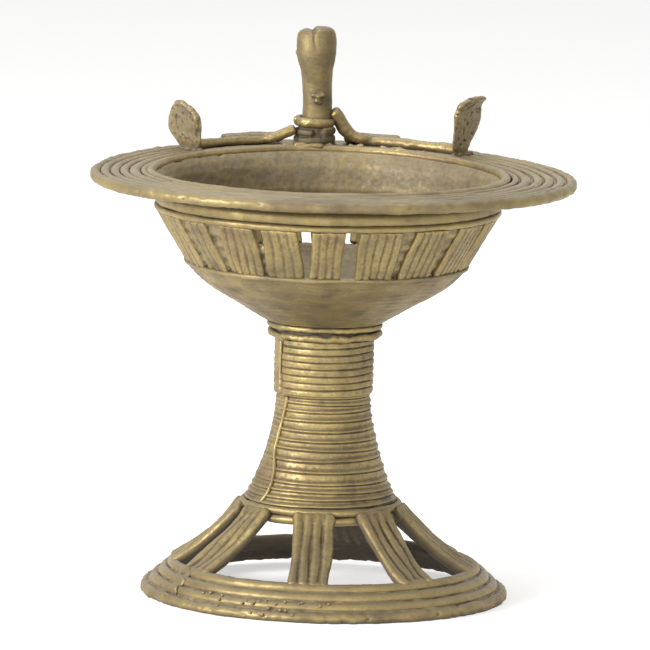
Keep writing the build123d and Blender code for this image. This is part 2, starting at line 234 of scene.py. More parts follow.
def worn_of(points, faces, depth, reach=6):
    """How worn each point is: 1 on a crest, 0 in a crevice, half on a plain face.

    The depth is how far a crest stands out or a crevice is sunk, and the reach is how many
    edges away its surroundings are."""
    edges = np.concatenate([faces[:, [k, (k + 1) % 4]] for k in range(4)])
    first = np.concatenate([edges[:, 0], edges[:, 1]])
    second = np.concatenate([edges[:, 1], edges[:, 0]])
    count = np.maximum(np.bincount(first, minlength=len(points)), 1)
    soft = points.copy()
    for _ in range(reach):
        soft = np.stack(
            [np.bincount(first, soft[second, axis], len(points)) / count for axis in range(3)], 1
        )
    sunk = np.einsum("ij,ij->i", soft - points, normals_of(points, faces))
    return np.clip(0.5 - sunk / depth / 2, 0, 1)


def pushed(points, faces, shift):
    """Points pushed out along their normals, each by its own shift."""
    return points + normals_of(points, faces) * shift[:, None]


def roughened(points, faces, coats, seed):
    """Points pushed in and out at random, coat by coat of (grain, depth)."""
    shift = np.zeros(len(points))
    for i, (grain, depth) in enumerate(coats):
        shift += depth * wax_noise(points + 17.3 * i, grain, seed + i)
    return pushed(points, faces, shift)


def gathered(skins):
    """Several skins' points and faces as one."""
    starts = np.cumsum([0] + [len(skin[0]) for skin in skins[:-1]])
    return (
        np.concatenate([skin[0] for skin in skins]),
        np.concatenate([skin[1] + start for skin, start in zip(skins, starts)]),
    )


def section(columns, power):
    """A rounded section one wide and one high, squarer with a larger power."""
    angles = round_angles(columns)
    waves = np.cos(angles), np.sin(angles)
    return [np.sign(wave) * np.abs(wave) ** (2 / power) for wave in waves]


def tube(path, side, up, widths, heights, columns=14, power=2.0, blunt=0.6):
    """A closed tube along a path, with a rounded section; widths and heights are half sizes.

    Its ends taper over the larger half size times blunt."""
    across, over = section(columns, power)
    side, up = np.broadcast_to(side, path.shape), np.broadcast_to(up, path.shape)
    run = run_of(path)
    ends = np.minimum(run, run[-1] - run) / (blunt * np.maximum(widths, heights))
    ends = np.sqrt(np.clip(1 - (1 - np.clip(ends, 0.003, 1)) ** 2, 0, 1))
    points = (
        path[:, None]
        + (widths * ends)[:, None, None] * across[None, :, None] * side[:, None]
        + (heights * ends)[:, None, None] * over[None, :, None] * up[:, None]
    ).reshape(-1, 3)
    return points, loft_faces(len(path), columns)


def laid_thread(path, radius, flat=1.0):
    """A round thread laid along a path that stays level or climbs."""
    return tube(path, *track(path, UP), radius, radius * flat, columns=16)


def turned(angles, radii, heights, centre=0.0):
    """Points at radii and heights round an upright axis, a row of them at each angle."""
    across = radii * np.cos(angles)[:, None]
    along = radii * np.sin(angles)[:, None]
    points = np.stack([centre + across, along, np.broadcast_to(heights, across.shape)], axis=2)
    return points.reshape(-1, 3)


def ring_thread(angles, radius, height, width, tall, centre=0.0, columns=18, power=2.0, lean=0.0):
    """A closed thread round the lamp; radius, height and half sizes may vary round it."""
    across, over = section(columns, power)
    radius, height, width, tall = (
        np.broadcast_to(value, len(angles))[:, None] for value in (radius, height, width, tall)
    )
    out = radius + width * across * math.cos(lean) - tall * over * math.sin(lean)
    rise = height + width * across * math.sin(lean) + tall * over * math.cos(lean)
    return turned(angles, out, rise, centre), grid_faces(len(angles), columns, True, True)


def turned_skin(profile, rows, closed=True):
    """A profile of (radius, height, centre in X), turned all the way round."""
    radii, heights, centre = profile.T
    points = turned(round_angles(rows), radii, heights, centre)
    return points, grid_faces(rows, len(profile), True, closed)


def capped_turn(profile, rows):
    """A closed skin, turned from a profile of (radius, height) from axis to axis."""
    columns = len(profile)
    profile = np.column_stack([profile, np.zeros(columns)])
    points, faces = turned_skin(profile, rows, closed=False)
    caps = cap_faces(rows) * columns
    return points, np.concatenate([faces, caps[:, ::-1], caps + columns - 1])


def sleeve_skin(inner, outer, heights, centre):
    """A closed sleeve: outer is radii (angles, heights), inner is radii over the heights."""
    radii = np.concatenate([outer, np.broadcast_to(inner[::-1], outer.shape)], axis=1)
    levels = np.concatenate([heights, heights[::-1]])
    points = turned(round_angles(len(outer)), radii, levels, centre)
    return points, grid_faces(len(outer), len(levels), True, True)


def blob(centre, size, stretch=(1, 1, 1)):
    """A small rounded lump."""
    rise = np.linspace(-math.pi / 2 + 0.02, math.pi / 2 - 0.02, 10)
    points, faces = capped_turn(np.stack([np.cos(rise), np.sin(rise)], 1), 14)
    return points * np.array(stretch) * size + np.array(centre), faces


# ---------------------------------------------------------------- pieces
def cast_piece(name, points, faces, finish, depth=0.12, grime_and_shade=0.0, polish=0.0):
    """A piece of the lamp from points in millimetres, in place of the CAD node of its name.

    The depth is that of a crevice that dirt and painted shade fill. The grime and shade value
    is how dark the dirt and the painted shade are at each point, and below zero how pale the
    dust is, which in places is paler colour painted where shade falls. Polish adds to how worn
    the piece looks."""
    mesh = bpy.data.meshes.new(name)
    mesh.from_pydata((points * MM).tolist(), [], faces.tolist())
    for key, values in (("worn", worn_of(points, faces, depth) + polish), ("grime_and_shade", grime_and_shade)):
        layer = mesh.attributes.new(key, "FLOAT", "POINT")
        values = np.broadcast_to(np.asarray(values, float), len(points))
        layer.data.foreach_set("value", values.copy())
    builder = bmesh.new()
    builder.from_mesh(mesh)
    bmesh.ops.remove_doubles(builder, verts=builder.verts, dist=1e-6)
    bmesh.ops.recalc_face_normals(builder, faces=builder.faces)
    builder.to_mesh(mesh)
    builder.free()
    mesh.polygons.foreach_set("use_smooth", [True] * len(mesh.polygons))
    mesh.materials.append(bpy.data.materials[COATS[finish]])
    piece = bpy.data.objects.new(name, mesh)
    bpy.context.scene.collection.objects.link(piece)
    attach(piece, "root")
    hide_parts(name)


def melted(name, skins, voxel, smooth, coats, seed, finish, bend=None, depth=0.12, grime_and_shade=None):
    """A piece of overlapping closed skins run together, softened, roughened and then bent."""
    points, faces = gathered(skins)
    mesh = bpy.data.meshes.new(name + "_wax")
    mesh.from_pydata(points.tolist(), [], faces.tolist())
    wax = bpy.data.objects.new(name + "_wax", mesh)
    bpy.context.scene.collection.objects.link(wax)
    remesh = wax.modifiers.new("melt", "REMESH")
    remesh.mode = "VOXEL"
    remesh.voxel_size = voxel
    settle = wax.modifiers.new("settle", "SMOOTH")
    settle.factor = 0.5
    settle.iterations = smooth
    depsgraph = bpy.context.evaluated_depsgraph_get()
    run = bpy.data.meshes.new_from_object(wax.evaluated_get(depsgraph))
    bpy.data.objects.remove(wax)
    bpy.data.meshes.remove(mesh)
    if not len(run.vertices):
        raise RuntimeError(f"{name}: nothing is left of it")
    flow = np.empty(len(run.vertices) * 3)
    run.vertices.foreach_get("co", flow)
    flow = flow.reshape(-1, 3)
    quads = np.array([(*face.vertices, face.vertices[-1])[:4] for face in run.polygons])
    bpy.data.meshes.remove(run)
    flow = roughened(flow, quads, coats, seed)
    if bend:
        flow = bend(flow)
    cast_piece(name, flow, quads, finish, depth, grime_and_shade(flow) if grime_and_shade else 0.0)


# ---------------------------------------------------------------- settings
def length(name, description, default):
    """A size in metres."""
    return bpy.props.FloatProperty(
        name=name, description=description, default=default, precision=5, unit="LENGTH"
    )


def turn(name, description, default):
    """An angle, given in degrees."""
    return bpy.props.FloatProperty(
        name=name, description=description, default=math.radians(default), unit="ROTATION"
    )


def tint(name, description, default):
    """A colour."""
    return bpy.props.FloatVectorProperty(
        name=name, description=description, default=default, size=3, min=0, max=1, subtype="COLOR"
    )


class LampFootSettings(bpy.types.PropertyGroup):
    """Sizes of the foot and its struts."""

    radius: length("Foot radius", "Centre of the lowest thread", 0.0444)
    thread: length("Thread", "Diameter of a foot thread", 0.003)
    slope: turn("Slope", "Slope of the foot's band", 41.6)
    back_lift: length("Back lift", "How far the foot's edge is off the ground at the back", 0.0016)
    strut_thread: length("Strut thread", "Diameter of a strut's thread", 0.00275)
    strut_bow: length("Strut bow", "Radius of a strut's hollow curve", 0.060)


class LampStemSettings(bpy.types.PropertyGroup):
    """Sizes of the stem and its hoops."""

    offset: length("Offset", "How far the stem stands to the side of the foot", -0.00125)
    waist: length("Waist radius", "Radius of the stem at its waist", 0.0116)
    flare: length("Flare", "Radius of the curve of the stem's flare", 0.071)
    hoop_line: length("Hoop line", "Width of the raised line on a flat hoop", 0.0006)
    seam: turn("Seam", "Azimuth of the seam down the stem", 303)


class LampBowlSettings(bpy.types.PropertyGroup):
    """Sizes of the bowl's lines and of the slats over it."""

    slat_thread: length("Slat thread", "Width of one thread of a slat", 0.0022)
    slat_depth: length("Slat depth", "Thickness of a slat", 0.0019)
    lines: length("Lines", "Spacing of the fine lines round the bowl", 0.0009)


class LampRimSettings(bpy.types.PropertyGroup):
    """How far the rim strays from a flat circle."""

    saddle: length("Saddle", "How far the rim's back rises and its sides drop", 0.00065)
    droop: length("Droop", "How far the rim's front hangs below its back", 0.0012)
    wobble: length("Wobble", "How far a thread strays from its circle", 0.00022)


class LampFinishSettings(bpy.types.PropertyGroup):
    """Colours of the brass, of what lies on it, and of the shade and light painted on it."""

    brass: tint("Brass", "Bare brass on the high parts", (0.43, 0.325, 0.122))
    copper: tint("Copper", "Redder patches in the bare brass", (0.40, 0.245, 0.115))
    patina: tint("Patina", "Dull brass between the high parts", (0.215, 0.163, 0.080))
    # The dust colour also paints paler colour into the shade on the neck under the flange.
    dust: tint("Dust", "Beige bloom of old polish and dust", (0.275, 0.233, 0.158))
    # The dirt colour also paints the shade in corners, crevices and undersides.
    dirt: tint("Dirt", "Dark dirt in the joints", (0.092, 0.074, 0.048))
    soot: tint("Soot", "Film of oil and soot", (0.182, 0.152, 0.102))
    tarnish: tint("Tarnish", "Brown stains in the brass", (0.130, 0.094, 0.056))


class OilLampSettings(bpy.types.PropertyGroup):
    """All of the lamp's settings."""

    foot: bpy.props.PointerProperty(type=LampFootSettings)
    stem: bpy.props.PointerProperty(type=LampStemSettings)
    bowl: bpy.props.PointerProperty(type=LampBowlSettings)
    rim: bpy.props.PointerProperty(type=LampRimSettings)
    finish: bpy.props.PointerProperty(type=LampFinishSettings)


# ---------------------------------------------------------------- joints, from the frame
def node_low(node):
    """The lowest corner of a CAD node's box, in millimetres."""
    return np.array(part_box(node)[0]) / MM


def node_high(node):
    """The highest corner of a CAD node's box, in millimetres."""
    return np.array(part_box(node)[1]) / MM


def node_middle(node):
    """The middle of a CAD node's box, in millimetres."""
    return (node_low(node) + node_high(node)) / 2


HOOPS_LOW = node_low("stem_flat_hoops")[2]
SLEEVE_LOW = node_low("stem_round_hoops")[2]
SLEEVE_HIGH = node_high("stem_round_hoops")[2]
BOWL_LOW = node_low("oil_bowl")[2]
BOWL_HIGH = node_high("oil_bowl")[2]
GALLERY_HIGH = node_high("slat_01")[2]
FLANGE_HIGH = node_high("rim_flange")[2]
RIM_HIGH = node_high("rim_thread_3")[2]
POST_HIGH = node_high("wick_post")[2]
POST_BACK = node_middle("wick_post")[1]


# ---------------------------------------------------------------- foot
# In millimetres: the height of the lowest foot thread's middle, how far apart the threads
# are laid, how far up the slope the band reaches, and the azimuth of the smear across them
FOOT_LEVEL = 1.05
THREAD_GAP = 0.02
BAND_RUN = 9.15
WELD_AZIMUTH = -67


def lifted(points):
    """The foot's points, with the edge lifted off the ground at the back."""
    lift = bpy.context.scene.oil_lamp.foot.back_lift / MM
    back = ramp(np.sin(np.arctan2(points[:, 1], points[:, 0]))) ** 1.5
    bent = points.copy()
    bent[:, 2] += lift * back * ramp(1 - points[:, 2] / 9.0)
    bent[:, 2] = np.maximum(bent[:, 2], 0.0)
    return bent


def inward(points, faces):
    """Dark on faces turned in towards the lamp's axis: painted shade, together with casting left
    dark there.
    """
    out = np.einsum("ij,ij->i", normals_of(points, faces), unit(points * [1, 1, 0]))
    return 0.95 * ramp(-out - 0.15, 0.2)


def slope_out(points, foot):
    """The way straight out of the foot's slope at each point."""
    return unit(points * [1, 1, 0]) * math.sin(foot.slope) + UP * math.cos(foot.slope)


def on_foot(foot, out, along, proud):
    """Points on the foot's slope, so far along it from the lowest thread's middle and proud."""
    cos, sin = math.cos(foot.slope), math.sin(foot.slope)
    reach = np.asarray(foot.radius / MM - along * cos + proud * sin)
    height = np.asarray(FOOT_LEVEL + along * sin + proud * cos)
    return out * reach[..., None] + height[..., None] * UP


def foot_weld(foot, thread):
    """The smear of metal that crosses the foot's threads at its left."""
    out, side = at_azimuth(WELD_AZIMUTH)
    along = np.linspace(-0.7, 10.2, 40)
    bulge = 0.30 * np.cos((along / (2 * thread + THREAD_GAP)) * TURN)
    path = on_foot(foot, out, along, thread - 0.2 + bulge)
    path = path + side * (1.2 * np.sin(along * 0.42 + 0.4))[:, None]
    wide = 2.4 + 0.6 * np.sin(along * 1.1 + 0.8) + 1.8 * ramp(along - 6.5, 2.5)
    up = out * math.sin(foot.slope) + UP * math.cos(foot.slope)
    points, faces = tube(path, side, up, wide, 0.62, blunt=1.6)
    return roughened(points, faces, [(2.2, 0.18), (0.9, 0.10)], 97), faces


def foot_beads(foot, thread):
    """Beads of metal that the mould left on the foot's front."""
    beads = []
    for i in range(24):
        spread = wax_noise(np.array([[i * 7.3, 3.0, 1.0], [i * 5.1, 9.0, 4.0]]), 1.0, 98)
        out, _ = at_azimuth(-26 + 26 * spread[0])
        along = (3.0 if i % 3 else 0.2) + 1.3 * spread[1]
        beads.append(blob(on_foot(foot, out, along, thread * 1.02), 0.30 + 0.2 * abs(spread[1])))
    return beads


def make_foot(settings):
    """The four threads of the foot and the band inside them."""
    foot = settings.foot
    radius, thread = foot.radius / MM, foot.thread / MM / 2
    cos, sin = math.cos(foot.slope), math.sin(foot.slope)
    angles = round_angles(640)
    for i in range(4):
        slip = hand_waves(angles, 0, (0.22, 260, 11 + i), (0.1, 90, 21 + i))
        fat = hand_waves(angles, 1, (0.10, 300, 31 + i), (0.05, 80, 41 + i))
        along = i * (2 * thread + THREAD_GAP) + slip * (1 if i else 0.3)
        points, faces = ring_thread(
            angles, radius - along * cos, FOOT_LEVEL + along * sin, thread * 1.01 * fat,
            thread * 0.99 * fat, columns=20, power=2.2, lean=-foot.slope,
        )
        weld = bump(azimuth_of(points), WELD_AZIMUTH - 1 + 1.5 * i, 2.2)
        points = points + (0.35 * weld)[:, None] * slope_out(points, foot)
        coats = [(6.0, 0.10), (2.2, 0.07), (0.8, 0.05)]
        if i == 0:
            coats = [(7.0, 0.22), (2.0, 0.20), (0.9, 0.16)]
        points = roughened(points, faces, coats, 50 + 5 * i)
        if i == 0:
            points = pushed(points, faces, pits(points, 1.3, 0.45, 96))
        dull = (0.16, 0.07, 0.03, 0.03)[i] * wax_mix(points * [1, 1, 2], 1, (0.9, 7.0, 99 + i))
        # Painted shade on the threads' undersides, spotty, and weaker on the foot's left, where
        # the key lamp lights it.
        under = ramp(0.30 - normals_of(points, faces)[:, 2], 0.5)
        under *= 0.42 - 0.3 * ramp(-points[:, 0] / 20 - 0.6)
        dull += under * wax_mix(points, 1, (0.6, 3.0, 105 + i))
        dark = np.maximum(inward(points, faces), dull)
        skins = [(points, faces)]
        if i == 0:
            skins += foot_beads(foot, thread)
        if i == 1:
            skins.append(foot_weld(foot, thread))
        points, faces = gathered(skins)
        dark = np.concatenate([dark, np.full(len(points) - len(dark), -0.5 if i == 0 else -0.12)])
        name = f"foot_thread_{i + 1}"
        points = lifted(held_in(points, -node_low(name)[0] * 1.004))
        cast_piece(name, points, faces, "aged_brass", 0.14, grime_and_shade=dark)
    band_r, band_z = radius - BAND_RUN * cos, FOOT_LEVEL + BAND_RUN * sin
    profile = resampled(
        [
            (radius + 0.6, 0.55, 0), (radius + 1.1, 1.2, 0), (band_r + 0.5, band_z + 0.6, 0),
            (band_r - 1.1, band_z + 0.5, 0), (band_r - 1.6, band_z - 0.6, 0),
            (radius + 0.9 * sin - 2.6, 0.55, 0),
        ],
        0.55,
    )
    points, faces = turned_skin(profile, 520)
    points = roughened(points, faces, [(7.0, 0.25), (2.5, 0.16), (1.0, 0.08)], 91)
    points[:, 2] = np.maximum(points[:, 2], 0.35)
    # The band is dark on the faces that don't face out of its slope: painted shade on its inner
    # side, together with dark patina there.
    facing = np.einsum("ij,ij->i", normals_of(points, faces), slope_out(points, foot))
    cast_piece("foot_band", lifted(points), faces, "sooted_brass", 0.25,
               grime_and_shade=0.95 * (facing < 0.75))


STRUT_AZIMUTHS = (-12, 32, 73, 119, 162, 222, 265, 300)
# How far a strut's top and foot stand to its side, for those that aren't quite radial
STRUT_SKEWS = {0: (-0.7, 0.0), 7: (0.3, -2.6)}
# Radius and height of a strut's outer face at its top and at its foot
STRUT_TOP = (20.4, 24.1)
STRUT_FOOT = (38.7, 8.55)


def strut_path(azimuth, settings, skew):
    """The middle of a strut's outer face, from its top to its foot, and the ways aside and out.

    The skew is how far its top and its foot stand to the side, in millimetres."""
    out, side = at_azimuth(azimuth)
    top, foot = np.array(STRUT_TOP), np.array(STRUT_FOOT)
    top[0] += settings.stem.offset / MM * out[0]
    bow = settings.foot.strut_bow / MM
    centre = arc_centre(top, foot, bow, 1)
    first, last = (math.atan2(*(end - centre)[::-1]) for end in (top, foot))
    turns = np.linspace(first, last, 60)
    flat = centre + bow * np.stack([np.cos(turns), np.sin(turns)], 1)
    normal = (centre - flat) / bow
    path = flat[:, :1] * out + flat[:, 1:] * UP
    path = path + np.linspace(*skew, len(path))[:, None] * side
    return path, side, normal[:, :1] * out + normal[:, 1:] * UP


def make_struts(settings):
    """The eight strips of threads between the foot and the stem, and the two rings on them."""
    thread = settings.foot.strut_thread / MM / 2
    for i, azimuth in enumerate(STRUT_AZIMUTHS):
        path, side, up = strut_path(azimuth, settings, STRUT_SKEWS.get(i, (0, 0)))
        along = np.linspace(0, 1, len(path))
        skins = []
        for j in range(4):
            wave = 0.28 * np.sin(along * (4 + j % 3) + 2.1 * j + i) * np.sin(along * math.pi)
            fat = 1 + 0.10 * np.sin(along * (7 + j) + 1.3 * i + j)
            sink = 0.15 * np.sin(along * 5 + j + 2 * i)
            place = (j - 1.5) * 2.5 + wave
            line = path + side * place[:, None] - up * (thread + sink)[:, None]
            skins.append(tube(line, side, up, thread * 0.99 * fat, thread * 0.98 * fat))
        web = path - up * np.interp(along, [0, 0.25, 1], [1.95, 1.8, 1.55])[:, None]
        skins.append(tube(web, side, up, 4.9, 0.95, power=5.0, blunt=0.2))
        head = path[:12] - up[:12] * np.linspace(1.05, 1.75, 12)[:, None]
        skins.append(tube(head, side, up[:12], 5.4, 1.1, power=3.5, blunt=0.3))
        toe = path[-8:] - up[-8:] * np.linspace(1.7, 1.15, 8)[:, None]
        skins.append(tube(toe, side, up[-8:], 5.1, 1.1, power=3.5, blunt=0.3))
        spine = path[::6] - up[::6] * 1.75

        def grime_and_shade(points):
            """Painted shade on the strut's underside and on its flanks, with the dark unpolished
            casting there.
            """
            near = np.argmin(((points[:, None] - spine[None]) ** 2).sum(2), axis=1)
            under = np.einsum("ij,ij->i", points - spine[near], up[::6][near])
            beside = np.abs((points - spine[near]) @ side)
            flank = ramp(beside - 4.1, 0.5) * ramp(1.3 - under, 0.5)
            return np.maximum(0.85 * ramp(-under + 0.20, 0.5), 0.72 * flank)

        melted(f"strut_{i + 1}", skins, 0.22, 5, [(5.0, 0.12), (1.6, 0.07), (0.7, 0.04)],
               120 + 7 * i, "aged_brass", grime_and_shade=grime_and_shade)
    angles = round_angles(340)
    for i, name in enumerate(("base_ring_lower", "base_ring_upper")):
        rise = hand_waves(angles, node_middle(name)[2], (0.1, 90, 61 + i))
        fat = hand_waves(angles, 1, (0.06, 60, 63 + i))
        points, faces = ring_thread(angles, 19.4, rise, fat, 1.04 * fat,
                                    centre=settings.stem.offset / MM)
        points = roughened(points, faces, [(4.0, 0.10), (1.4, 0.06)], 66 + i)
        cast_piece(name, points, faces, "aged_brass")


# ---------------------------------------------------------------- stem
# Heights of the joints between the flat hoops, in millimetres
HOOP_JOINTS = (24.5, 26.1, 27.7, 29.9, 32.4, 35.1, 37.6, 39.9, 42.4, 44.9, 47.2, 49.0, 50.9)
# The seam's path up the stem: degrees past its azimuth, and height
SEAM_RIDGE = (
    (-1.3, 24.3), (3.4, 27.2), (4.2, 29.5), (3.2, 32), (-1.2, 35.2), (-4.8, 37.9), (-4.6, 41.5),
    (-1.9, 44.7), (0.5, 48.5), (1.8, 51),
)
ROUND_HOOPS = 8
SLEEVE_PROUD = 0.9


def flare_radius(heights, stem):
    """The radius of the flared stem at heights in millimetres, with no hoops on it."""
    curve = stem.flare / MM
    low = np.array([19.0, HOOPS_LOW - 0.3])
    centre = arc_centre(low, np.array([stem.waist / MM, SLEEVE_LOW]), curve, -1)
    return centre[0] - np.sqrt(curve**2 - (heights - centre[1]) ** 2)


def make_hoops(settings):
    """The flat hoops of the flare, each with a raised line on its foot and a joint under it."""
    stem = settings.stem
    angles = round_angles(340)
    heights = np.arange(HOOPS_LOW - 0.3, SLEEVE_LOW + 0.25, 0.13)
    base = flare_radius(np.minimum(heights, SLEEVE_LOW), stem)
    outer = np.broadcast_to(base, (len(angles), len(heights))).copy()
    past, level = np.array(SEAM_RIDGE).T
    ridge = math.degrees(stem.seam) + np.interp(heights, level, past)
    past = degrees_past(np.degrees(angles)[:, None] + 90, ridge[None, :])
    plain = np.exp(-(((past + 27) / 26) ** 6)) * np.clip((heights[None, :] - 27) / 4, 0.25, 1)
    strong = 1 - 0.72 * plain
    line = stem.hoop_line / MM
    for k, joint in enumerate(HOOP_JOINTS):
        level = hand_waves(angles, joint, (0.22, 120, 70 + k), (0.06, 30, 90 + k))
        level = level - 0.15 * np.cos(angles - 0.6 * k) * (k % 3 - 1)
        above = heights[None, :] - level[:, None]
        fat = hand_waves(angles, 1, (0.5, 25, 120 + k))
        outer += strong * 0.30 * bump(above, line * 0.72, line * 0.62)
        outer -= strong * 0.32 * bump(above, -0.05, 0.14)
        outer -= strong * 0.10 * fat[:, None] * bump(above, 1.2, 0.5)
    points, faces = sleeve_skin(base - 0.9, outer, heights, stem.offset / MM)
    points = roughened(points, faces, [(5.0, 0.14), (1.5, 0.05), (0.7, 0.025)], 140)
    cast_piece("stem_flat_hoops", points, faces, "rubbed_brass", 0.10)


def make_sleeve(settings):
    """The round hoops of the stem's upper part, with a slit beside the seam."""
    stem = settings.stem
    angles = round_angles(300)
    heights = np.arange(SLEEVE_LOW, SLEEVE_HIGH + 0.02, 0.11)
    radius = stem.waist / MM + SLEEVE_PROUD
    pitch = (SLEEVE_HIGH - SLEEVE_LOW) / ROUND_HOOPS
    past = degrees_past(np.degrees(angles) + 90, math.degrees(stem.seam))
    plain = np.exp(-(((past + 22) / 13) ** 4))
    outer = np.empty((len(angles), len(heights)))
    wave = hand_waves(angles, 0, (0.30, 130, 160), (0.12, 40, 161))
    for i, level in enumerate(heights):
        place = (level - SLEEVE_LOW) / pitch
        shift = hand_waves(angles, wave, (0.15, 50, 170 + int(place))) / pitch
        place = place + shift * ramp(min(place, ROUND_HOOPS - place))
        within = place - np.floor(place)
        rib = np.sqrt(np.clip(1 - (2 * within - 1) ** 4, 0, 1))
        slit = bump(past, -8.6 + 1.0 * math.sin(level * 0.5), 2.3)
        outer[:, i] = radius - 0.70 * (1 - rib) * (1 - 0.9 * plain) - 0.95 * slit
    inner = np.full(len(heights), radius - 1.4)
    points, faces = sleeve_skin(inner, outer, heights, stem.offset / MM)
    points = roughened(points, faces, [(4.0, 0.16), (1.4, 0.07), (0.7, 0.03)], 180)
    cast_piece("stem_round_hoops", points, faces, "rubbed_brass", 0.12)


def seam_line(points, stem, proud):
    """A path on the stem through (degrees past the seam, height), standing proud of the hoops."""
    past, height = resampled(points, 0.5, closed=False).T
    radius = flare_radius(np.minimum(height, SLEEVE_LOW), stem)
    radius = np.where(height > SLEEVE_LOW, stem.waist / MM + SLEEVE_PROUD, radius) + proud
    out, _ = at_azimuth(math.degrees(stem.seam) + past)
    path = out * radius[:, None] + [stem.offset / MM, 0, 0] + height[:, None] * UP
    return path, *track(path, out)


def make_seam(settings):
    """The ridge where the hoops' ends meet, and the smooth strip beside it."""
    path, side, up = seam_line(SEAM_RIDGE, settings.stem, 0.15)
    wide = 0.46 + 0.10 * np.sin(np.linspace(0, 21, len(path)))
    points, faces = tube(path, side, up, wide, 0.52)
    points = roughened(points, faces, [(2.0, 0.10), (0.8, 0.05)], 200)
    cast_piece("stem_seam_lower", points, faces, "rubbed_brass", grime_and_shade=0.14, polish=-0.16)
    strip = ((-18, 51.6), (-18, 58), (-18, 65.1))
    path, side, up = seam_line(strip, settings.stem, -0.50)
    points, faces = tube(path, side, up, 1.55, 0.55, power=2.6)
    points = roughened(points, faces, [(3.0, 0.10), (0.9, 0.04)], 210)
    cast_piece("stem_seam_upper", points, faces, "rubbed_brass", grime_and_shade=0.05, polish=-0.1)


def make_collar(settings):
    """The two threads of the collar under the bowl; the lower one is ragged."""
    angles = round_angles(420)
    for i, name in enumerate(("collar_ring_lower", "collar_ring_upper")):
        ragged = 1.0 if i == 0 else 0.35
        rise = hand_waves(angles, node_middle(name)[2], (ragged * 0.25, 60, 230 + i),
                          (ragged * 0.35, 14, 232 + i))
        fat = hand_waves(angles, 1, (ragged * 0.32, 22, 234 + i))
        points, faces = ring_thread(angles, 13.55, rise, 0.95, 0.78 * fat,
                                    centre=settings.stem.offset / MM, power=2.4)
        coats = [(2.2, 0.10 + 0.14 * ragged), (1.0, 0.12), (0.6, 0.05)]
        cast_piece(name, roughened(points, faces, coats, 240 + i), faces, "aged_brass")


# ---------------------------------------------------------------- bowl
def old_dust(points):
    """The pale crust that dried oil and dust left on the inside of the bowl and the neck."""
    return wax_mix(points, -0.38, (0.34, 0.9, 261), (0.18, 4.0, 263))


def make_bowl(settings):
    """The oil bowl, with fine lines round its outside and a rough inside."""
    centre = settings.stem.offset / MM
    top, low = BOWL_HIGH, BOWL_LOW
    outside = [(0.0, low), (14.6, low), (14.9, low + 0.15)]
    outside += [(14.6 + 14.04 * t, low + 8.27 * t) for t in np.linspace(0.03, 1, 30)]
    outside += [(30.6, low + 9.6), (32.3, low + 11.0), (33.7, low + 12.4), (34.6, low + 13.4)]
    outside += [(35.0, top - 1.2), (35.5, top - 1.0), (35.65, top - 0.35), (35.2, top - 0.05)]
    hollow = [(33.2, top), (32.6, top - 0.8), (31.2, top - 2.4), (27.4, low + 10.3),
              (14.6, low + 2.8), (12.6, low + 2.4), (0.0, low + 2.4)]
    profile = resampled([(r, z, centre) for r, z in outside + hollow], 0.33, closed=False)
    points, faces = turned_skin(profile, 420, closed=False)
    facing = normals_of(points, faces)[:, 2]
    skin = (facing < 0.2) & (reach_of(points, centre) > 15.5) & (points[:, 2] < top - 1.4)
    inside = facing > 0.2
    stray = wax_mix(points, wax_noise(points * [1, 1, 0.3], 14.0, 250) * 1.2, (0.35, 3.5, 262))
    wave = np.sin((points[:, 2] + stray) / (settings.bowl.lines / MM) * TURN * 0.86)
    faint = np.clip(wax_mix(points, 0.6, (0.8, 9.0, 251)), 0, 1.2)
    crust = wax_mix(points, 0, (0.04, 1.3, 258), (0.08, 0.7, 259))
    points = pushed(points, faces, skin * 0.075 * faint * wave + inside * crust)
    points = roughened(points, faces, [(9.0, 0.16), (3.0, 0.07), (0.9, 0.035)], 252)
    points[:, 2] += 0.15 * wax_noise(points, 12.0, 256) * (points[:, 2] > low + 6)
    bright = (facing < 0) * (0.20 * wax_noise(points * [1, 1, 1.6], 4.5, 264) + 0.05)
    cast_piece("oil_bowl", points, faces, "sooted_brass", 0.5, grime_and_shade=inside * old_dust(points),
               polish=bright)


GAP_AZIMUTHS = (
    -79.5, -64.5, -48.8, -30.6, -13.8, 2.7, 22.8, 42.3, 61.9, 79.6, 97.5,
    115.5, 133.3, 149.6, 165.8, 182.4, 200.4, 216.9, 232.5, 249.3, 265.3,
)
# Width of each gap at the slats' heads and at their feet, in millimetres
GAP_WIDTHS = (
    (2.6, 1.0), (4.0, 1.8), (4.8, 1.6), (2.2, 0.9), (3.7, 1.2), (3.9, 3.3), (4.1, 2.0),
    (4.8, 1.8), (3.8, 1.6), (2.2, 1.2), (2.6, 0.6), (1.6, 1.0), (3.0, 0.8), (2.0, 1.6),
    (2.6, 1.6), (2.4, 2.4), (2.4, 1.6), (1.8, 0.6), (3.0, 1.0), (2.2, 0.8), (1.6, 1.2),
)
# Gaps that rough metal partly fills, and how far up it reaches as a share of the slats
FILLED_GAPS = {1: 1.0, 2: 1.0, 3: 0.62, 6: 1.0, 7: 1.0, 8: 1.0}
# Radius of the slats' outer face at their feet and at their heads
GALLERY_RADII = (35.0, 42.9)


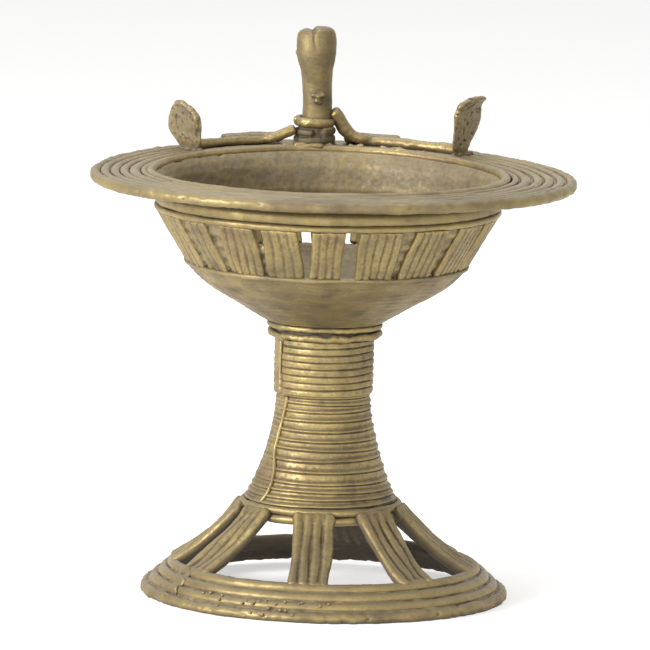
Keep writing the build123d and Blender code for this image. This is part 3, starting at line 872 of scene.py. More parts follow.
def make_gallery(settings):
    """The slats over the bowl: strips of pressed threads that run together at their heads."""
    bowl = settings.bowl
    centre = settings.stem.offset / MM
    deep = bowl.slat_depth / MM / 2
    low_r, high_r = GALLERY_RADII
    low_z, high_z = BOWL_HIGH - 0.75, GALLERY_HIGH - 0.15
    slope = math.atan2(high_r - low_r, high_z - low_z)
    marks = np.linspace(0, 1, 34)
    radii = low_r + (high_r - low_r) * marks
    straight = low_z + (high_z - low_z) * marks

    def half_gap(k):
        """Half the width of a gap in degrees, up the slats."""
        head, foot = GAP_WIDTHS[k]
        return np.degrees((foot + (head - foot) * marks) / 2 / radii)

    def laid(azimuth, height):
        """A line up the slats' outer face, and the ways sideways and outwards along it."""
        out, side = at_azimuth(azimuth)
        line = out * radii[:, None] + height[:, None] * UP + [centre, 0, 0]
        return line, side, out * math.cos(slope) - math.sin(slope) * UP

    for i in range(len(GAP_AZIMUTHS)):
        after = (i + 1) % len(GAP_AZIMUTHS)
        last = GAP_AZIMUTHS[after] + (360 if after == 0 else 0)
        left, right = GAP_AZIMUTHS[i] + half_gap(i), last - half_gap(after)
        wide = np.radians(right - left) * radii
        threads = max(3, round(float(wide.mean()) / (bowl.slat_thread / MM)))
        skins = []
        lean = 1.4 * wax_noise(np.array([[i * 3.1, 2.0, 5.0]]), 2.0, 300)[0] * (marks - 0.5)
        for j in range(threads):
            sway = 0.5 * np.sin(marks * 3 + 1.7 * i + 0.9 * j) * np.sin(marks * math.pi)
            foot = 0.22 * math.sin(1.9 * j + 0.7 * i)
            line, side, up = laid(left + (right - left) * ((j + 0.5) / threads) + sway + lean,
                                  low_z + foot + (high_z - low_z - foot) * marks)
            fat = 1 + 0.05 * np.sin(marks * 6 + j + 2 * i)
            line = line - up * (deep + 0.06 * math.sin(2.3 * j + 1.1 * i))
            skins.append(tube(line, side, up, wide / threads / 2 * 1.05 * fat, deep * fat,
                              power=2.9, blunt=0.35))
        line, side, up = laid((left + right) / 2 + lean, straight)
        web = line - up * (deep * 1.15)
        skins.append(tube(web, side, up, wide / 2 * 0.96, deep * 0.68, power=5.0, blunt=0.3))
        sink = np.interp(marks[17:], [0.5, 0.8, 0.9, 1.0], [0.6, 0.24, 0.0, -0.08])
        plate = line[17:] - up[17:] * (deep * 0.8 + sink)[:, None]
        skins.append(tube(plate, side[17:], up[17:], wide[17:] / 2, deep * 0.8, power=3.6,
                          blunt=1.0))
        if after in FILLED_GAPS:
            rows = int(len(marks) * FILLED_GAPS[after])
            line, side, up = (part[:rows] for part in laid(np.full(len(marks), last), straight))
            span = (np.radians(last - right) * radii + 0.5)[:rows]
            ripple = 1.5 + 0.15 * np.sin(np.arange(rows) * 0.9 + i)
            line = line - up * ripple[:, None]
            skins.append(tube(line, side, up, span, 0.45, power=4.0, blunt=0.8))

        def grime_and_shade(points):
            """Dirt and painted shade on the slat's inner face, and dirt and dust on the metal that
            fills a gap.
            """
            level = (points[:, 2] - low_z) / (high_z - low_z)
            under = low_r + (high_r - low_r) * level - reach_of(points, centre)
            dark = 0.22 * ramp(under * math.cos(slope) - 0.9, 0.5)
            if after not in FILLED_GAPS:
                return dark
            fill = ramp(azimuth_of(points, centre) - np.interp(level, marks, right), 0.3)
            return dark * (1 - fill) + fill * wax_mix(points, -0.38, (0.5, 0.8, 390))

        melted(f"slat_{i + 1:02d}", skins, 0.22, 3, [(4.0, 0.10), (1.4, 0.06), (0.6, 0.04)],
               310 + 3 * i, "rubbed_brass", depth=0.16, grime_and_shade=grime_and_shade)


# ---------------------------------------------------------------- neck and rim
# Diameters of the thread round the mouth and of the five on the flange, from the inside out
RIM_THREADS = (2.3, 1.5, 2.85, 2.35, 2.35, 2.25)
# Inner radius of the first of them, and the space after each
MOUTH_RADIUS = 43.1
RIM_GAP = 0.25
# Ends of thread over the lip: azimuths and radii of both ends, and half of the thickness
LIP_ENDS = (
    (186, 173, 44.3, 45.7, 0.75), (176, 190, 43.6, 44.6, 0.6), (149, 158, 44.2, 46.2, 0.7),
    (152, 141, 43.8, 45.0, 0.6), (163, 168, 45.6, 45.2, 0.6),
)


def rim_bend(points, settings):
    """The rim's points, raised at the back and lowered at the sides and front."""
    rim, start = settings.rim, GALLERY_HIGH - 2
    angle = np.arctan2(points[:, 1], points[:, 0])
    bend = rim.saddle / MM * np.cos(2 * angle) + rim.droop / MM * frontness(points) ** 2
    bent = points.copy()
    bent[:, 2] -= ramp(points[:, 2] - start, FLANGE_HIGH - start) * bend
    return bent


def darker_front(points):
    """Browner and darker towards the front of the rim."""
    return 0.31 * frontness(points) ** 2 * wax_mix(points * [0.6, 1, 1.5], 1, (0.9, 3.0, 520))


def make_neck(settings):
    """The neck's two outer threads, and the neck and flange themselves."""
    centre = settings.stem.offset / MM
    angles = round_angles(620)
    for i, name in enumerate(("neck_thread_lower", "neck_thread_upper")):
        tall = (node_high(name) - node_low(name))[2] / 2 * (1.06 + 0.08 * i)
        rise = hand_waves(angles, node_middle(name)[2], (0.18, 170, 400 + i), (0.10, 50, 402 + i))
        fat = hand_waves(angles, 1, (0.08, 90, 404 + i))
        points, faces = ring_thread(
            angles, 42.35, rise, 1.05, tall * fat, centre=centre, columns=22, power=2.5
        )
        points = roughened(points, faces, [(7.0, 0.12), (2.0, 0.07), (0.8, 0.03)], 410 + 5 * i)
        cast_piece(name, rim_bend(points, settings), faces, "rubbed_brass", grime_and_shade=0.04 + 0.14 * i)
    low, top = GALLERY_HIGH, FLANGE_HIGH
    profile = resampled(
        [
            (40.35, low + 0.1, centre), (41.9, low + 0.1, centre), (42.05, top - 1.9, centre),
            (42.9, top - 1.25, centre), (50.0, top - 1.2, centre / 2), (58.4, top - 1.15, 0),
            (58.5, top, 0), (44.6, top, centre), (43.7, top + 0.7, centre),
            (43.0, top + 0.6, centre), (41.7, top - 0.7, centre), (40.8, top - 2.6, centre),
        ],
        0.5,
    )
    points, faces = turned_skin(profile, 560)
    points = roughened(points, faces, [(6.0, 0.12), (2.0, 0.08), (0.9, 0.04)], 430)
    reach = reach_of(points)
    # The neck's foot hangs lower at the back, and the flange's top fills up to its threads
    back = ramp(np.abs(azimuth_of(points)) / 40 - 2.2)
    points[:, 2] -= 1.9 * back * (points[:, 2] < low + 0.5)
    front = ramp(1.6 - np.abs(azimuth_of(points)) / 60)
    points[:, 2] += (0.85 - 0.5 * front) * (points[:, 2] > top - 0.6) * (reach > 45)
    rough = back * (reach > 44) * (reach < 51) * (points[:, 2] > top - 0.6)
    points[:, 2] += rough * wax_mix(points, 0, (0.45, 2.2, 436), (0.4, 1.1, 437))
    wall = ramp(43.2 - reach_of(points, centre), 0.8)
    points = pushed(points, faces, wall * wax_mix(points, 0, (0.04, 1.3, 438), (0.09, 0.7, 439)))
    # Painted light: the neck's outer wall under the flange, which the rim shades, is given paler
    # dust colour and less painted crevice shade.
    skirt = (reach < 46) * (points[:, 2] < top - 0.9) * (1 - wall)
    cast_piece("rim_flange", rim_bend(points, settings), faces, "sooted_brass", 0.5,
               grime_and_shade=wall * old_dust(points) - 0.6 * skirt)


def lip_ends(top, centre):
    """Ends of thread that lie over the lip where its lengths meet, at the back."""
    ends = []
    for first, last, near, far, thick in LIP_ENDS:
        azimuth = np.radians(np.linspace(first, last, 24))
        reach = np.linspace(near, far, 24)
        rise = top - 0.45 + 0.15 * np.sin(np.linspace(0, 7, 24))
        path = np.stack([centre + reach * np.sin(azimuth), -reach * np.cos(azimuth), rise], 1)
        points, faces = laid_thread(path, thick * (1 + 0.2 * np.sin(np.linspace(0, 9, 24))))
        ends.append((roughened(points, faces, [(1.6, 0.16), (0.7, 0.08)], 475), faces))
    return ends


def make_rim_threads(settings):
    """The raised thread round the mouth, the five threads on the flange and the rolled edge."""
    centre = settings.stem.offset / MM
    stray = settings.rim.wobble / MM
    angles = round_angles(720)
    start = MOUTH_RADIUS
    for i, size in enumerate(RIM_THREADS):
        name = "lip_thread" if i == 0 else f"rim_thread_{i}"
        top, half = node_high(name)[2], size / 2
        middle = hand_waves(angles, start + half, (stray, 300, 440 + i),
                            (0.4 * stray, 90, 450 + i))
        fat = hand_waves(angles, 1, (0.07, 120, 460 + i), (0.03, 40, 465 + i))
        tall = half * (0.98 if i != 1 else 0.8)
        points, faces = ring_thread(
            angles, middle, top - tall * 1.02, half * 1.06 * fat, tall * fat,
            centre=centre * (1 - i / 6), power=2.15,
        )
        points[:, 2] += 0.10 * wax_noise(points, 14.0, 470 + i)
        points = roughened(points, faces, [(4.0, 0.09), (1.5, 0.06), (0.7, 0.03)], 480 + 5 * i)
        if i == 0:
            points, faces = gathered([(points, faces), *lip_ends(top, centre)])
        cast_piece(name, rim_bend(points, settings), faces, "aged_brass", grime_and_shade=darker_front(points))
        start += size + RIM_GAP
    high = node_high("edge_roll")
    half = (high - node_low("edge_roll"))[2] / 2
    middle = hand_waves(angles, high[0] - half - 0.15, (0.5 * stray, 260, 500))
    fat = hand_waves(angles, 1, (0.06, 80, 501), (0.05, 25, 502))
    points, faces = ring_thread(
        angles, middle, node_middle("edge_roll")[2], half * 0.98 * fat, half * fat, columns=22
    )
    points = roughened(points, faces, [(5.0, 0.14), (1.8, 0.15), (0.8, 0.10)], 510)
    points = held_in(pushed(points, faces, pits(points, 1.6, 0.30, 515)), 0.999 * high[0])
    cast_piece("edge_roll", rim_bend(points, settings), faces, "rubbed_brass",
               grime_and_shade=0.12 + darker_front(points))


# ---------------------------------------------------------------- post and snakes
# Lengths of thread round the post's foot: the azimuths of both ends, height, slant, half height
WRAPS = (
    (-175, -30, 0.7, 0.3, 0.7), (-25, 60, 0.5, 0.2, 0.6), (66, 175, 0.9, 0.2, 0.8),
    (-150, -78, 2.2, -0.2, 0.8), (-62, 78, 2.15, 0.5, 0.78), (84, 200, 2.3, 0.2, 0.8),
    (-170, -86, 4.0, 0.3, 0.85), (-68, -8, 4.0, 0.0, 0.72), (16, 74, 4.3, 0.5, 1.1),
    (82, 185, 4.2, 0.1, 0.9),
)
# Each snake's side, and how many degrees from the back its hood and its tail are
SNAKES = {"right": (1, 44.5, 24.4), "left": (-1, 38.0, 26.5)}
# How each climbs the post: to its side, forward and up, from the post's back and the rim
CLIMBS = {
    "right": ((11.8, 0.5, 1.7), (9.6, 0.9, 2.3), (7.8, 1.0, 3.7), (6.6, 0.7, 5.6),
              (5.6, 0.3, 7.7), (4.1, 0.0, 9.0)),
    "left": ((11.6, 0.2, 1.6), (9.6, 0.2, 2.1), (7.8, 0.0, 2.8), (6.0, -0.3, 3.8),
             (4.8, -0.4, 4.2)),
}
# Each hood from its foot to its tip: height, half width, how far it stands out from its foot
# and how far it leans forward, in millimetres
HOOD_SHAPES = {
    "right": (
        (-0.7, 2.4, -1.3, 0.0), (0.4, 2.5, -1.4, 0.0), (1.5, 3.2, -1.6, 0.0),
        (3.3, 3.8, -1.2, 0.05), (4.6, 4.3, -0.7, 0.1), (6.6, 4.9, -0.1, 0.2), (8.0, 5.3, 0.1, 0.4),
        (9.1, 5.5, 0.0, 0.6), (10.5, 5.4, -0.1, 0.9), (11.8, 5.1, -0.3, 1.3),
        (12.7, 5.0, -0.5, 1.8), (13.4, 4.9, -0.2, 2.4), (14.1, 4.2, 0.3, 3.2),
        (14.5, 2.6, 0.8, 4.0),
    ),
    "left": (
        (-0.9, 1.8, 0.7, 0.0), (-0.2, 2.4, 0.5, 0.0), (0.5, 3.5, 0.1, 0.0), (1.5, 4.5, 0.3, 0.0),
        (3.5, 5.7, 1.1, 0.1), (5.1, 6.2, 1.3, 0.2), (7.1, 6.1, 1.1, 0.4), (8.9, 5.5, 1.0, 0.7),
        (10.4, 3.9, 1.6, 1.0), (11.4, 2.3, 2.2, 1.3), (12.0, 1.1, 2.4, 1.5),
    ),
}


def make_post(settings):
    """The wick post: a shaft, a bulb and a split crown."""
    foot, top = RIM_HIGH, POST_HIGH - 0.15
    profile = resampled(
        [
            (0.08, foot - 0.6), (3.7, foot - 0.6), (3.75, foot + 2), (3.8, foot + 8),
            (3.75, foot + 13), (3.85, foot + 16.5), (4.2, top - 11.0), (4.7, top - 9.0),
            (5.0, top - 7.2), (5.1, top - 5.0), (5.05, top - 3.2), (4.85, top - 1.8),
            (4.4, top - 0.8), (3.5, top - 0.2), (0.08, top),
        ],
        0.4,
        closed=False,
    )
    points, faces = capped_turn(profile, 96)
    skins = [(points + [0, POST_BACK, 0], faces)]
    skins.append(blob((-4.85, POST_BACK - 0.5, top - 6.7), 0.7, (0.8, 1.2, 1.0)))
    for x, z, size in ((-1.3, 13.6, 0.5), (-0.2, 13.3, 0.62), (1.0, 13.7, 0.45),
                       (-0.4, 12.2, 0.55), (0.1, 11.8, 0.4)):
        skins.append(blob((x, POST_BACK - 3.95, foot + z), size * 1.35, (1.15, 0.8, 0.9)))

    def leaning(points):
        """The post's points, with the shaft leaning and the crown flattened, folded and split."""
        bent = points.copy()
        x, y, z = points[:, 0], points[:, 1] - POST_BACK, points[:, 2] - top
        bent[:, 1] = POST_BACK + y * (1 - 0.12 * ramp(z + 11, 4))
        fold = -0.9 + 0.25 * np.sin(z * 0.7)
        near = bump(x, fold, 0.35) + 0.5 * bump(x, fold, 1.4)
        bent[:, 1] += 0.24 * near * ramp(z + 6.5, 3) * np.where(y < 0, 1, -1) * (np.abs(y) > 1.5)
        bent[:, 2] -= ramp(z + 2.0, 1.6) * 0.55 * (bump(x, -0.9, 0.75) + ramp(-0.3 - x))
        bent[:, 0] += 0.55 * ramp(-8 - z, 12)
        return bent

    melted("wick_post", skins, 0.21, 3, [(5.0, 0.10), (1.8, 0.05), (0.7, 0.025)], 600,
           "rubbed_brass", bend=leaning, depth=0.3,
           grime_and_shade=lambda points: np.clip(wax_mix(points, 0.27, (0.25, 3.5, 611)), 0, 0.6))


def arc_piece(radius, height, first, last, wide, tall, power, slant=0.0):
    """A short piece of thread bent round the post, between two azimuths seen from the front."""
    azimuth = np.linspace(first, last, max(8, int(abs(last - first) / 6)))
    out, _ = at_azimuth(azimuth)
    rise = height + slant * np.linspace(-0.5, 0.5, len(azimuth))
    path = out * radius + [0, POST_BACK, 0] + rise[:, None] * UP
    return tube(path, out, UP, wide, tall, power=power, blunt=0.5)


def make_wraps(settings):
    """The short lengths of thread stacked round the post's foot, and the collar over them."""
    skins = []
    for first, last, height, slant, tall in WRAPS:
        skins.append(arc_piece(4.55, RIM_HIGH + height, first, last, 0.84, tall, 3.4, slant))
    skins.append(arc_piece(3.8, RIM_HIGH + 2.6, -180, 180, 0.5, 2.9, 4))
    angles = np.linspace(0, TURN, 60, endpoint=False)
    fat = 1 + 0.16 * np.cos(angles - 3.4) + 0.06 * np.sin(3 * angles)
    points, faces = ring_thread(angles, 4.4, RIM_HIGH + 6.55, 0.9, 1.08 * fat, power=2.4)
    points[:, 2] -= 0.10 * points[:, 0] / 4.35
    skins.append((points + [0, POST_BACK, 0], faces))
    skins.append(blob((-5.0, POST_BACK - 0.8, RIM_HIGH + 6.9), 0.9, (0.8, 1.0, 1.3)))
    for x, y, z in ((-3.4, -4.6, 0.3), (-5.2, -2.4, 0.4), (3.0, -4.9, 0.2), (5.6, -1.6, 0.3)):
        skins.append(blob((x, POST_BACK + y, RIM_HIGH + z), 0.8, (1.3, 1.0, 0.7)))
    # The wraps are painted darker below the collar.
    melted("post_wraps", skins, 0.2, 2, [(3.0, 0.14), (1.2, 0.10), (0.6, 0.05)], 620,
           "aged_brass", grime_and_shade=lambda points: 0.75 * ramp(RIM_HIGH + 5.4 - points[:, 2], 0.6))


def make_snakes(settings):
    """The two snakes that lie on the rim and climb the post, with the thread behind each."""
    for name, (sign, hood, tail) in SNAKES.items():

        def on_rim(azimuth, reach, height):
            """A point over the rim on the snake's side, at degrees from the back."""
            out, _ = at_azimuth(180 - azimuth)
            return [sign * out[0] * reach, out[1] * reach, RIM_HIGH + height]

        corners = [on_rim(azimuth, 51.4 + 0.25 * math.sin(azimuth * 0.35 + sign), 1.0)
                   for azimuth in np.linspace(hood + 0.4, 15.5, 14)]
        corners += [[sign * x, POST_BACK - 1.2 + y, RIM_HIGH + z] for x, y, z in CLIMBS[name]]
        body = softened(resampled(corners, 0.5, closed=False), 7)
        thick, swell = (1.36, 0.45) if sign > 0 else (1.22, 0.15)
        wide = thick + 0.12 * np.sin(np.linspace(0, 17, len(body)))
        wide = wide + swell * ramp(body[:, 2] - RIM_HIGH - 2.0, 2)
        corners = [on_rim(azimuth, 53.9 + 0.3 * math.sin(azimuth * 0.5), 1.35)
                   for azimuth in np.linspace(8.5, tail, 12)]
        path = softened(resampled(corners, 0.5, closed=False), 6)
        skins = [laid_thread(body, wide), laid_thread(path, 1.45, 0.98),
                 laid_thread(path * [0.975, 0.975, 1] + [0, 0, 0.1], 1.25)]
        # Painted shade: the snakes are darker near the rim, on their undersides where they lie on
        # it.
        melted(f"snake_{name}", skins, 0.2, 2, [(4.0, 0.12), (1.4, 0.08), (0.6, 0.04)],
               640 + sign, "aged_brass", bend=lambda points: rim_bend(points, settings),
               grime_and_shade=lambda points: 0.8 * ramp(RIM_HIGH + 1.1 - points[:, 2], 0.8))


def hood_tone(points):
    """Darker towards a hood's foot, and the pits and dust over the rest of it."""
    low = ramp(RIM_HIGH + 3.0 - points[:, 2], 2.5)
    pitting = ramp(wax_noise(points, 0.8, 670) - 0.2)
    return 0.55 * low + (1 - low) * wax_mix(points, 2.6 * pitting - 0.3, (0.2, 2.2, 671))


def make_hoods(settings):
    """The raised hoods: cupped leaves with a thick crinkled rim."""
    for name, (sign, from_post, _) in SNAKES.items():
        out, side = at_azimuth(180 - from_post)
        out, forward = out * [sign, 1, 1], -side * [sign, 1, 1]
        foot = out * 52.8 + RIM_HIGH * UP
        shape = softened(resampled(HOOD_SHAPES[name], 0.28, closed=False), 5)
        level, half, shift, lean = shape.T[..., None]
        u = np.linspace(-1, 1, 40)
        cup = 0.5 * np.sin(ramp(level, level[-1]) * math.pi)
        spine = foot + level * UP + lean * forward
        place = (spine[:, None] + (shift + half * u)[..., None] * out
                 + (cup * u**2)[..., None] * forward)
        face = unit(np.cross(out, unit(np.gradient(spine, axis=0))))
        thick = face[:, None] * 0.75 * np.sqrt(1.02 - u**2)[:, None]
        loop = np.concatenate([place + thick, (place - thick)[:, ::-1]], axis=1)
        rows, columns = loop.shape[:2]
        skins = [(loop.reshape(-1, 3), loft_faces(rows, columns))]
        near = place[int(rows * 0.42):-2, 3 if name == "left" else 1]
        far = place[-3:int(rows * 0.86):-1, -6]
        edge = softened(resampled(np.concatenate([near, far]), 0.4, closed=False), 6)
        edge = edge + 0.45 * forward
        beat = np.arange(len(edge))
        wide = 0.66 * (1 + 0.14 * np.sin(beat * 0.9) + 0.08 * np.sin(beat * 2.3))
        skins.append(tube(edge, *track(edge, forward), wide, wide * 1.15, columns=12, blunt=4.0))
        for x, y, size in ((0.0, 0.0, 1.7), (-2.2, 0.4, 1.0), (2.0, 0.6, 0.9), (-3.4, -0.5, 0.8)):
            skins.append(blob(foot + x * out + y * forward, size, (1.0, 1.0, 0.6)))
        melted(f"hood_{name}", skins, 0.2, 2, [(3.0, 0.12), (1.2, 0.08), (0.6, 0.06)], 660 + sign,
               "aged_brass", grime_and_shade=hood_tone)


# ---------------------------------------------------------------- finishes
def bare_tree(owner):
    """The node tree of a material or a world, emptied."""
    owner.use_nodes = True
    owner.node_tree.nodes.clear()
    return owner.node_tree


def add_node(tree, kind, inputs, output=0, **values):
    """An output of a new shader node, whose inputs are linked to outputs or set to constants."""
    made = tree.nodes.new(kind)
    for key, value in values.items():
        setattr(made, key, value)
    for key, value in inputs.items():
        if isinstance(value, bpy.types.NodeSocket):
            tree.links.new(value, made.inputs[key])
        else:
            made.inputs[key].default_value = value
    return made.outputs[output] if len(made.outputs) else None


def brass_finish(name, settings, shine, soot=0.0):
    """Cast brass: bare and smooth where it is rubbed, dull between, and dark in its joints
    and crevices, with dirt and painted shade there.
    """
    tree = bare_tree(bpy.data.materials.new(name))
    names = LampFinishSettings.__annotations__
    tones = {key: (*getattr(settings.finish, key), 1) for key in names}

    def node(kind, inputs, output=0, **values):
        return add_node(tree, kind, inputs, output, **values)

    def noise(scale, detail, roughness=0.55, distortion=0.0, stretch=1.0):
        spot = node("ShaderNodeMapping", {"Vector": place, "Scale": (1, 1, stretch)})
        return node("ShaderNodeTexNoise", {
            "Vector": spot, "Scale": scale, "Detail": detail, "Roughness": roughness,
            "Distortion": distortion,
        }, "Fac")

    def spread(value, low, high, to_low=0.0, to_high=1.0):
        return node("ShaderNodeMapRange", {
            "Value": value, "From Min": low, "From Max": high, "To Min": to_low, "To Max": to_high,
        }, interpolation_type="SMOOTHSTEP")

    def work(kind, first, second):
        return node("ShaderNodeMath", {0: first, 1: second}, operation=kind, use_clamp=True)

    def times(first, second):
        return work("MULTIPLY", first, second)

    def most(first, second):
        return work("MAXIMUM", first, second)

    def blend(amount, first, second):
        return node("ShaderNodeMix", {"Factor": amount, "A": first, "B": second}, "Result",
                    data_type="RGBA")

    place = node("ShaderNodeTexCoord", {}, "Object")
    worn = node("ShaderNodeAttribute", {}, "Fac", attribute_name="worn")
    grime_and_shade_value = node("ShaderNodeAttribute", {}, "Fac", attribute_name="grime_and_shade")
    occlusion_shade = node("ShaderNodeAmbientOcclusion", {"Distance": 0.0016}, "AO", samples=6)
    normal = node("ShaderNodeNewGeometry", {}, "Normal")
    upward = node("ShaderNodeSeparateXYZ", {"Vector": normal}, "Z")

    # Bare brass: on worn crests, in patches
    stains = noise(330, 5, 0.7, 0.3)
    patches = spread(noise(70, 4, 0.6), 0.34, 0.62, 0.35, 1.0)
    rubbed = times(spread(worn, 0.38, 0.66, 0.12, 1.0), patches)
    rubbed = times(times(rubbed, spread(stains, 0.36, 0.58, 0.72, 1.0)), shine)
    # Dust: settled on top, and where the grime and shade value is below zero, which on the
    # neck under the flange is paler colour painted where the rim shades it
    settled = times(spread(upward, 0.45, 0.95, 0.0, 0.7), spread(worn, 0.25, 0.6))
    dusty = most(times(spread(stains, 0.35, 0.75), 0.22), settled)
    dusty = most(dusty, times(grime_and_shade_value, -1.0))
    stained = spread(noise(120, 4, 0.6, 0.5, 2.2), 0.42, 0.64)
    reddish = spread(noise(60, 3, 0.5), 0.5, 0.68, 0.0, 0.45)
    colour = blend(stained, tones["patina"], tones["tarnish"])
    colour = blend(rubbed, colour, blend(reddish, tones["brass"], tones["copper"]))
    colour = blend(dusty, colour, tones["dust"])
    if soot:
        streaks = spread(noise(110, 4, 0.65, 0.0, 7.0), 0.36, 0.66)
        film = times(times(streaks, soot), work("SUBTRACT", 1.0, rubbed))
        colour = blend(film, colour, tones["soot"])
    # Dirt and painted shade: shade painted into corners and crevices from the occlusion node
    # and the crevice map, with the dirt there; dirt in specks; and the dirt and painted shade
    # of the grime and shade value above zero. Below zero, that value takes the painted crevice
    # shade away.
    dark = times(most(spread(occlusion_shade, 0.80, 0.30), spread(worn, 0.36, 0.10)), 0.8)
    dark = times(dark, work("ADD", grime_and_shade_value, 1.0))
    dark = most(dark, times(spread(noise(1500, 3, 0.6), 0.46, 0.70), 0.26))
    dark = most(dark, grime_and_shade_value)
    rough = work("SUBTRACT", 0.57 + 0.12 * soot, times(rubbed, 0.18))
    relief = node("ShaderNodeBump", {
        "Strength": 0.35, "Distance": 0.00012, "Height": noise(2200, 4, 0.6),
    })
    shader = node("ShaderNodeBsdfPrincipled", {
        "Base Color": blend(dark, colour, tones["dirt"]),
        "Roughness": work("ADD", rough, times(dark, 0.25)),
        "Metallic": work("SUBTRACT", 0.72 - 0.3 * soot, times(most(dark, dusty), 0.55)),
        "Normal": relief,
    })
    node("ShaderNodeOutputMaterial", {"Surface": shader})


def make_finishes(settings):
    """The lamp's three finishes, one for each material slot; the stem core's slots get the aged
    one.
    """
    brass_finish(COATS["aged_brass"], settings, 0.88)
    brass_finish(COATS["rubbed_brass"], settings, 1.0)
    brass_finish(COATS["sooted_brass"], settings, 0.75, soot=0.5)
    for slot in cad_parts["stem_core"].material_slots:
        slot.material = bpy.data.materials[COATS["aged_brass"]]


# ---------------------------------------------------------------- stage
# The soft lights, in metres and watts: name, place, size and power
LIGHTS = (
    ("key", (-1.02, -0.60, 0.40), 0.40, 14.5),
    ("fill", (0.0, -1.15, 0.06), 0.8, 5.1),
    ("top", (-0.1, 0.1, 1.1), 0.9, 6.0),
)
LIGHT_TARGET = (0, 0, 0.07)
# The camera's azimuth, rise and roll in degrees, and its distance, the width that it sees and
# the point that it looks at in metres
CAMERA_TURNS = (-6, 8, 1.45)
CAMERA_DISTANCE = 2.2
CAMERA_WIDTH = 0.1625
CAMERA_TARGET = (-0.00125, 0, 0.0679)
SENSOR_WIDTH = 36


def background_rays(tree):
    """1 for the rays that show the background: the camera's, mirrored and passed on."""
    rays = tree.nodes.new("ShaderNodeLightPath").outputs
    seen = rays["Is Camera Ray"]
    for kind in ("Is Glossy Ray", "Is Transmission Ray"):
        seen = add_node(tree, "ShaderNodeMath", {0: seen, 1: rays[kind]}, operation="MAXIMUM")
    return seen


def stage_surface(name, colour, glow):
    """A pale surface that the camera sees as bright, and that keeps the lamp's shadow."""
    material = bpy.data.materials.new(name)
    tree = bare_tree(material)
    power = add_node(tree, "ShaderNodeMath", {0: background_rays(tree), 1: glow},
                     operation="MULTIPLY")
    plain = add_node(tree, "ShaderNodeBsdfDiffuse", {"Color": (*colour, 1)})
    bright = add_node(tree, "ShaderNodeEmission", {"Color": (1, 1, 1, 1), "Strength": power})
    both = add_node(tree, "ShaderNodeAddShader", {0: plain, 1: bright})
    add_node(tree, "ShaderNodeOutputMaterial", {"Surface": both})
    return material


def make_surroundings(scene):
    """White surroundings for the camera, which light the lamp less than they show."""
    scene.world = bpy.data.worlds.new("studio")
    tree = bare_tree(scene.world)
    around, white = (
        add_node(tree, "ShaderNodeBackground", {"Color": (*colour, 1), "Strength": strength})
        for colour, strength in (((1.0, 0.99, 0.97), 0.36), ((1, 1, 1), 1.0))
    )
    seen = background_rays(tree)
    mixed = add_node(tree, "ShaderNodeMixShader", {"Fac": seen, 1: around, 2: white})
    add_node(tree, "ShaderNodeOutputWorld", {"Surface": mixed})


def make_camera(scene):
    """The camera, a little above the rim and tilted a little."""
    azimuth, rise, roll = (math.radians(degrees) for degrees in CAMERA_TURNS)
    back = Vector((math.sin(azimuth) * math.cos(rise), -math.cos(azimuth) * math.cos(rise),
                   math.sin(rise)))
    right = Vector((math.cos(azimuth), math.sin(azimuth), 0))
    over = back.cross(right)
    across = right * math.cos(roll) + over * math.sin(roll)
    upward = over * math.cos(roll) - right * math.sin(roll)
    lens = bpy.data.cameras.new("camera")
    lens.sensor_width = SENSOR_WIDTH
    lens.lens = SENSOR_WIDTH * CAMERA_DISTANCE / CAMERA_WIDTH
    lens.clip_end = 20
    camera = bpy.data.objects.new("camera", lens)
    scene.collection.objects.link(camera)
    place = Matrix.Translation(Vector(CAMERA_TARGET) + back * CAMERA_DISTANCE)
    camera.matrix_world = place @ Matrix((across, upward, back)).transposed().to_4x4()
    scene.camera = camera


def make_stage(settings):
    """The pale floor, the soft lights, the white surroundings and the camera."""
    scene = bpy.context.scene
    mesh = bpy.data.meshes.new("floor")
    mesh.from_pydata([(-3, -3, 0), (3, -3, 0), (3, 3, 0), (-3, 3, 0)], [], [(0, 1, 2, 3)])
    mesh.materials.append(stage_surface("floor_surface", (0.8, 0.8, 0.8), 0.55))
    floor = bpy.data.objects.new("floor", mesh)
    scene.collection.objects.link(floor)
    for name, place, size, power in LIGHTS:
        light = bpy.data.lights.new(name, "AREA")
        light.size = size
        light.energy = power
        lamp = bpy.data.objects.new(name, light)
        lamp.location = place
        ahead = Vector(LIGHT_TARGET) - Vector(place)
        lamp.rotation_euler = ahead.to_track_quat("-Z", "Y").to_euler()
        scene.collection.objects.link(lamp)
    make_surroundings(scene)
    make_camera(scene)
    scene.view_settings.view_transform = "Standard"


# ---------------------------------------------------------------- operators
def made(make, context):
    """A step's result once it has made its pieces from the scene's settings."""
    make(context.scene.oil_lamp)
    return {"FINISHED"}


class OIL_LAMP_OT_finishes(bpy.types.Operator):
    """Makes the lamp's brass finishes"""

    bl_idname = "oil_lamp.finishes"
    bl_label = "Finishes"

    def execute(self, context):
        return made(make_finishes, context)


class OIL_LAMP_OT_foot(bpy.types.Operator):
    """Makes the foot's threads and band"""

    bl_idname = "oil_lamp.foot"
    bl_label = "Foot"

    def execute(self, context):
        return made(make_foot, context)


class OIL_LAMP_OT_struts(bpy.types.Operator):
    """Makes the struts and the base rings"""

    bl_idname = "oil_lamp.struts"
    bl_label = "Struts"

    def execute(self, context):
        return made(make_struts, context)


class OIL_LAMP_OT_hoops(bpy.types.Operator):
    """Makes the flat hoops of the flare"""

    bl_idname = "oil_lamp.hoops"
    bl_label = "Flat hoops"

    def execute(self, context):
        return made(make_hoops, context)


class OIL_LAMP_OT_sleeve(bpy.types.Operator):
    """Makes the round hoops of the stem"""

    bl_idname = "oil_lamp.sleeve"
    bl_label = "Round hoops"

    def execute(self, context):
        return made(make_sleeve, context)


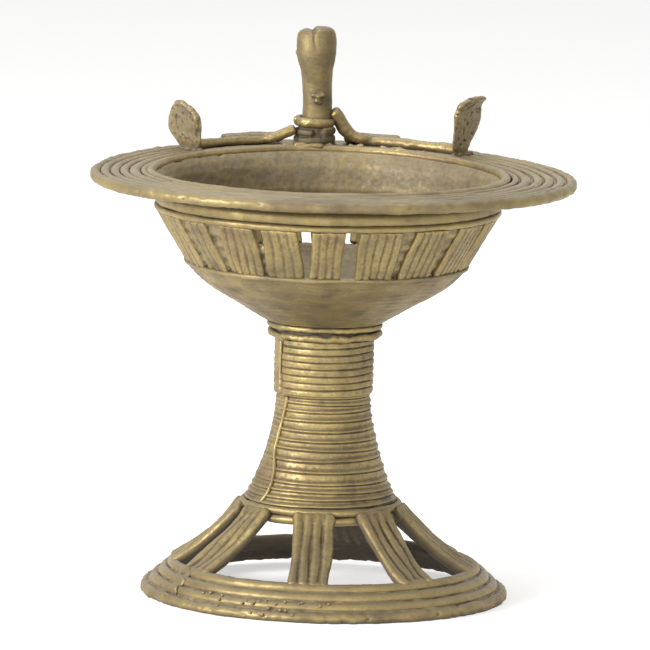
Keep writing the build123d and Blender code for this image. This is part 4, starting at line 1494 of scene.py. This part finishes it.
class OIL_LAMP_OT_seam(bpy.types.Operator):
    """Makes the seam down the stem"""

    bl_idname = "oil_lamp.seam"
    bl_label = "Seam"

    def execute(self, context):
        return made(make_seam, context)


class OIL_LAMP_OT_collar(bpy.types.Operator):
    """Makes the collar's two threads"""

    bl_idname = "oil_lamp.collar"
    bl_label = "Collar"

    def execute(self, context):
        return made(make_collar, context)


class OIL_LAMP_OT_bowl(bpy.types.Operator):
    """Makes the oil bowl"""

    bl_idname = "oil_lamp.bowl"
    bl_label = "Oil bowl"

    def execute(self, context):
        return made(make_bowl, context)


class OIL_LAMP_OT_gallery(bpy.types.Operator):
    """Makes the slats over the bowl"""

    bl_idname = "oil_lamp.gallery"
    bl_label = "Slats"

    def execute(self, context):
        return made(make_gallery, context)


class OIL_LAMP_OT_neck(bpy.types.Operator):
    """Makes the neck, its threads and the flange"""

    bl_idname = "oil_lamp.neck"
    bl_label = "Neck"

    def execute(self, context):
        return made(make_neck, context)


class OIL_LAMP_OT_rim(bpy.types.Operator):
    """Makes the threads of the rim"""

    bl_idname = "oil_lamp.rim"
    bl_label = "Rim threads"

    def execute(self, context):
        return made(make_rim_threads, context)


class OIL_LAMP_OT_post(bpy.types.Operator):
    """Makes the wick post"""

    bl_idname = "oil_lamp.post"
    bl_label = "Wick post"

    def execute(self, context):
        return made(make_post, context)


class OIL_LAMP_OT_wraps(bpy.types.Operator):
    """Makes the wraps round the post's foot"""

    bl_idname = "oil_lamp.wraps"
    bl_label = "Wraps"

    def execute(self, context):
        return made(make_wraps, context)


class OIL_LAMP_OT_snakes(bpy.types.Operator):
    """Makes the snakes on the rim"""

    bl_idname = "oil_lamp.snakes"
    bl_label = "Snakes"

    def execute(self, context):
        return made(make_snakes, context)


class OIL_LAMP_OT_hoods(bpy.types.Operator):
    """Makes the snakes' raised hoods"""

    bl_idname = "oil_lamp.hoods"
    bl_label = "Hoods"

    def execute(self, context):
        return made(make_hoods, context)


class OIL_LAMP_OT_stage(bpy.types.Operator):
    """Makes the floor, the lights and the camera"""

    bl_idname = "oil_lamp.stage"
    bl_label = "Stage"

    def execute(self, context):
        return made(make_stage, context)


STEPS = (
    OIL_LAMP_OT_finishes, OIL_LAMP_OT_foot, OIL_LAMP_OT_struts, OIL_LAMP_OT_hoops,
    OIL_LAMP_OT_sleeve, OIL_LAMP_OT_seam, OIL_LAMP_OT_collar, OIL_LAMP_OT_bowl,
    OIL_LAMP_OT_gallery, OIL_LAMP_OT_neck, OIL_LAMP_OT_rim, OIL_LAMP_OT_post, OIL_LAMP_OT_wraps,
    OIL_LAMP_OT_snakes, OIL_LAMP_OT_hoods, OIL_LAMP_OT_stage,
)


class OIL_LAMP_PT_panel(bpy.types.Panel):
    """The lamp's settings and steps."""

    bl_label = "Oil lamp"
    bl_idname = "OIL_LAMP_PT_panel"
    bl_space_type = "VIEW_3D"
    bl_region_type = "UI"
    bl_category = "Oil lamp"

    def draw(self, context):
        lamp = context.scene.oil_lamp
        for group in (lamp.foot, lamp.stem, lamp.bowl, lamp.rim, lamp.finish):
            box = self.layout.box()
            for key in group.__annotations__:
                box.prop(group, key)
        for step in STEPS:
            self.layout.operator(step.bl_idname)


CLASSES = (
    LampFootSettings, LampStemSettings, LampBowlSettings, LampRimSettings, LampFinishSettings,
    OilLampSettings, *STEPS, OIL_LAMP_PT_panel,
)


def register():
    """Adds the settings, the steps and the panel."""
    for item in CLASSES:
        bpy.utils.register_class(item)
    bpy.types.Scene.oil_lamp = bpy.props.PointerProperty(type=OilLampSettings)


def unregister():
    """Takes away what register adds."""
    del bpy.types.Scene.oil_lamp
    for item in reversed(CLASSES):
        bpy.utils.unregister_class(item)


def main():
    """Makes the lamp and its stage."""
    register()
    for step in STEPS:
        name = step.bl_idname.split(".")[1]
        getattr(bpy.ops.oil_lamp, name)()


if __name__ == "__main__":
    main()
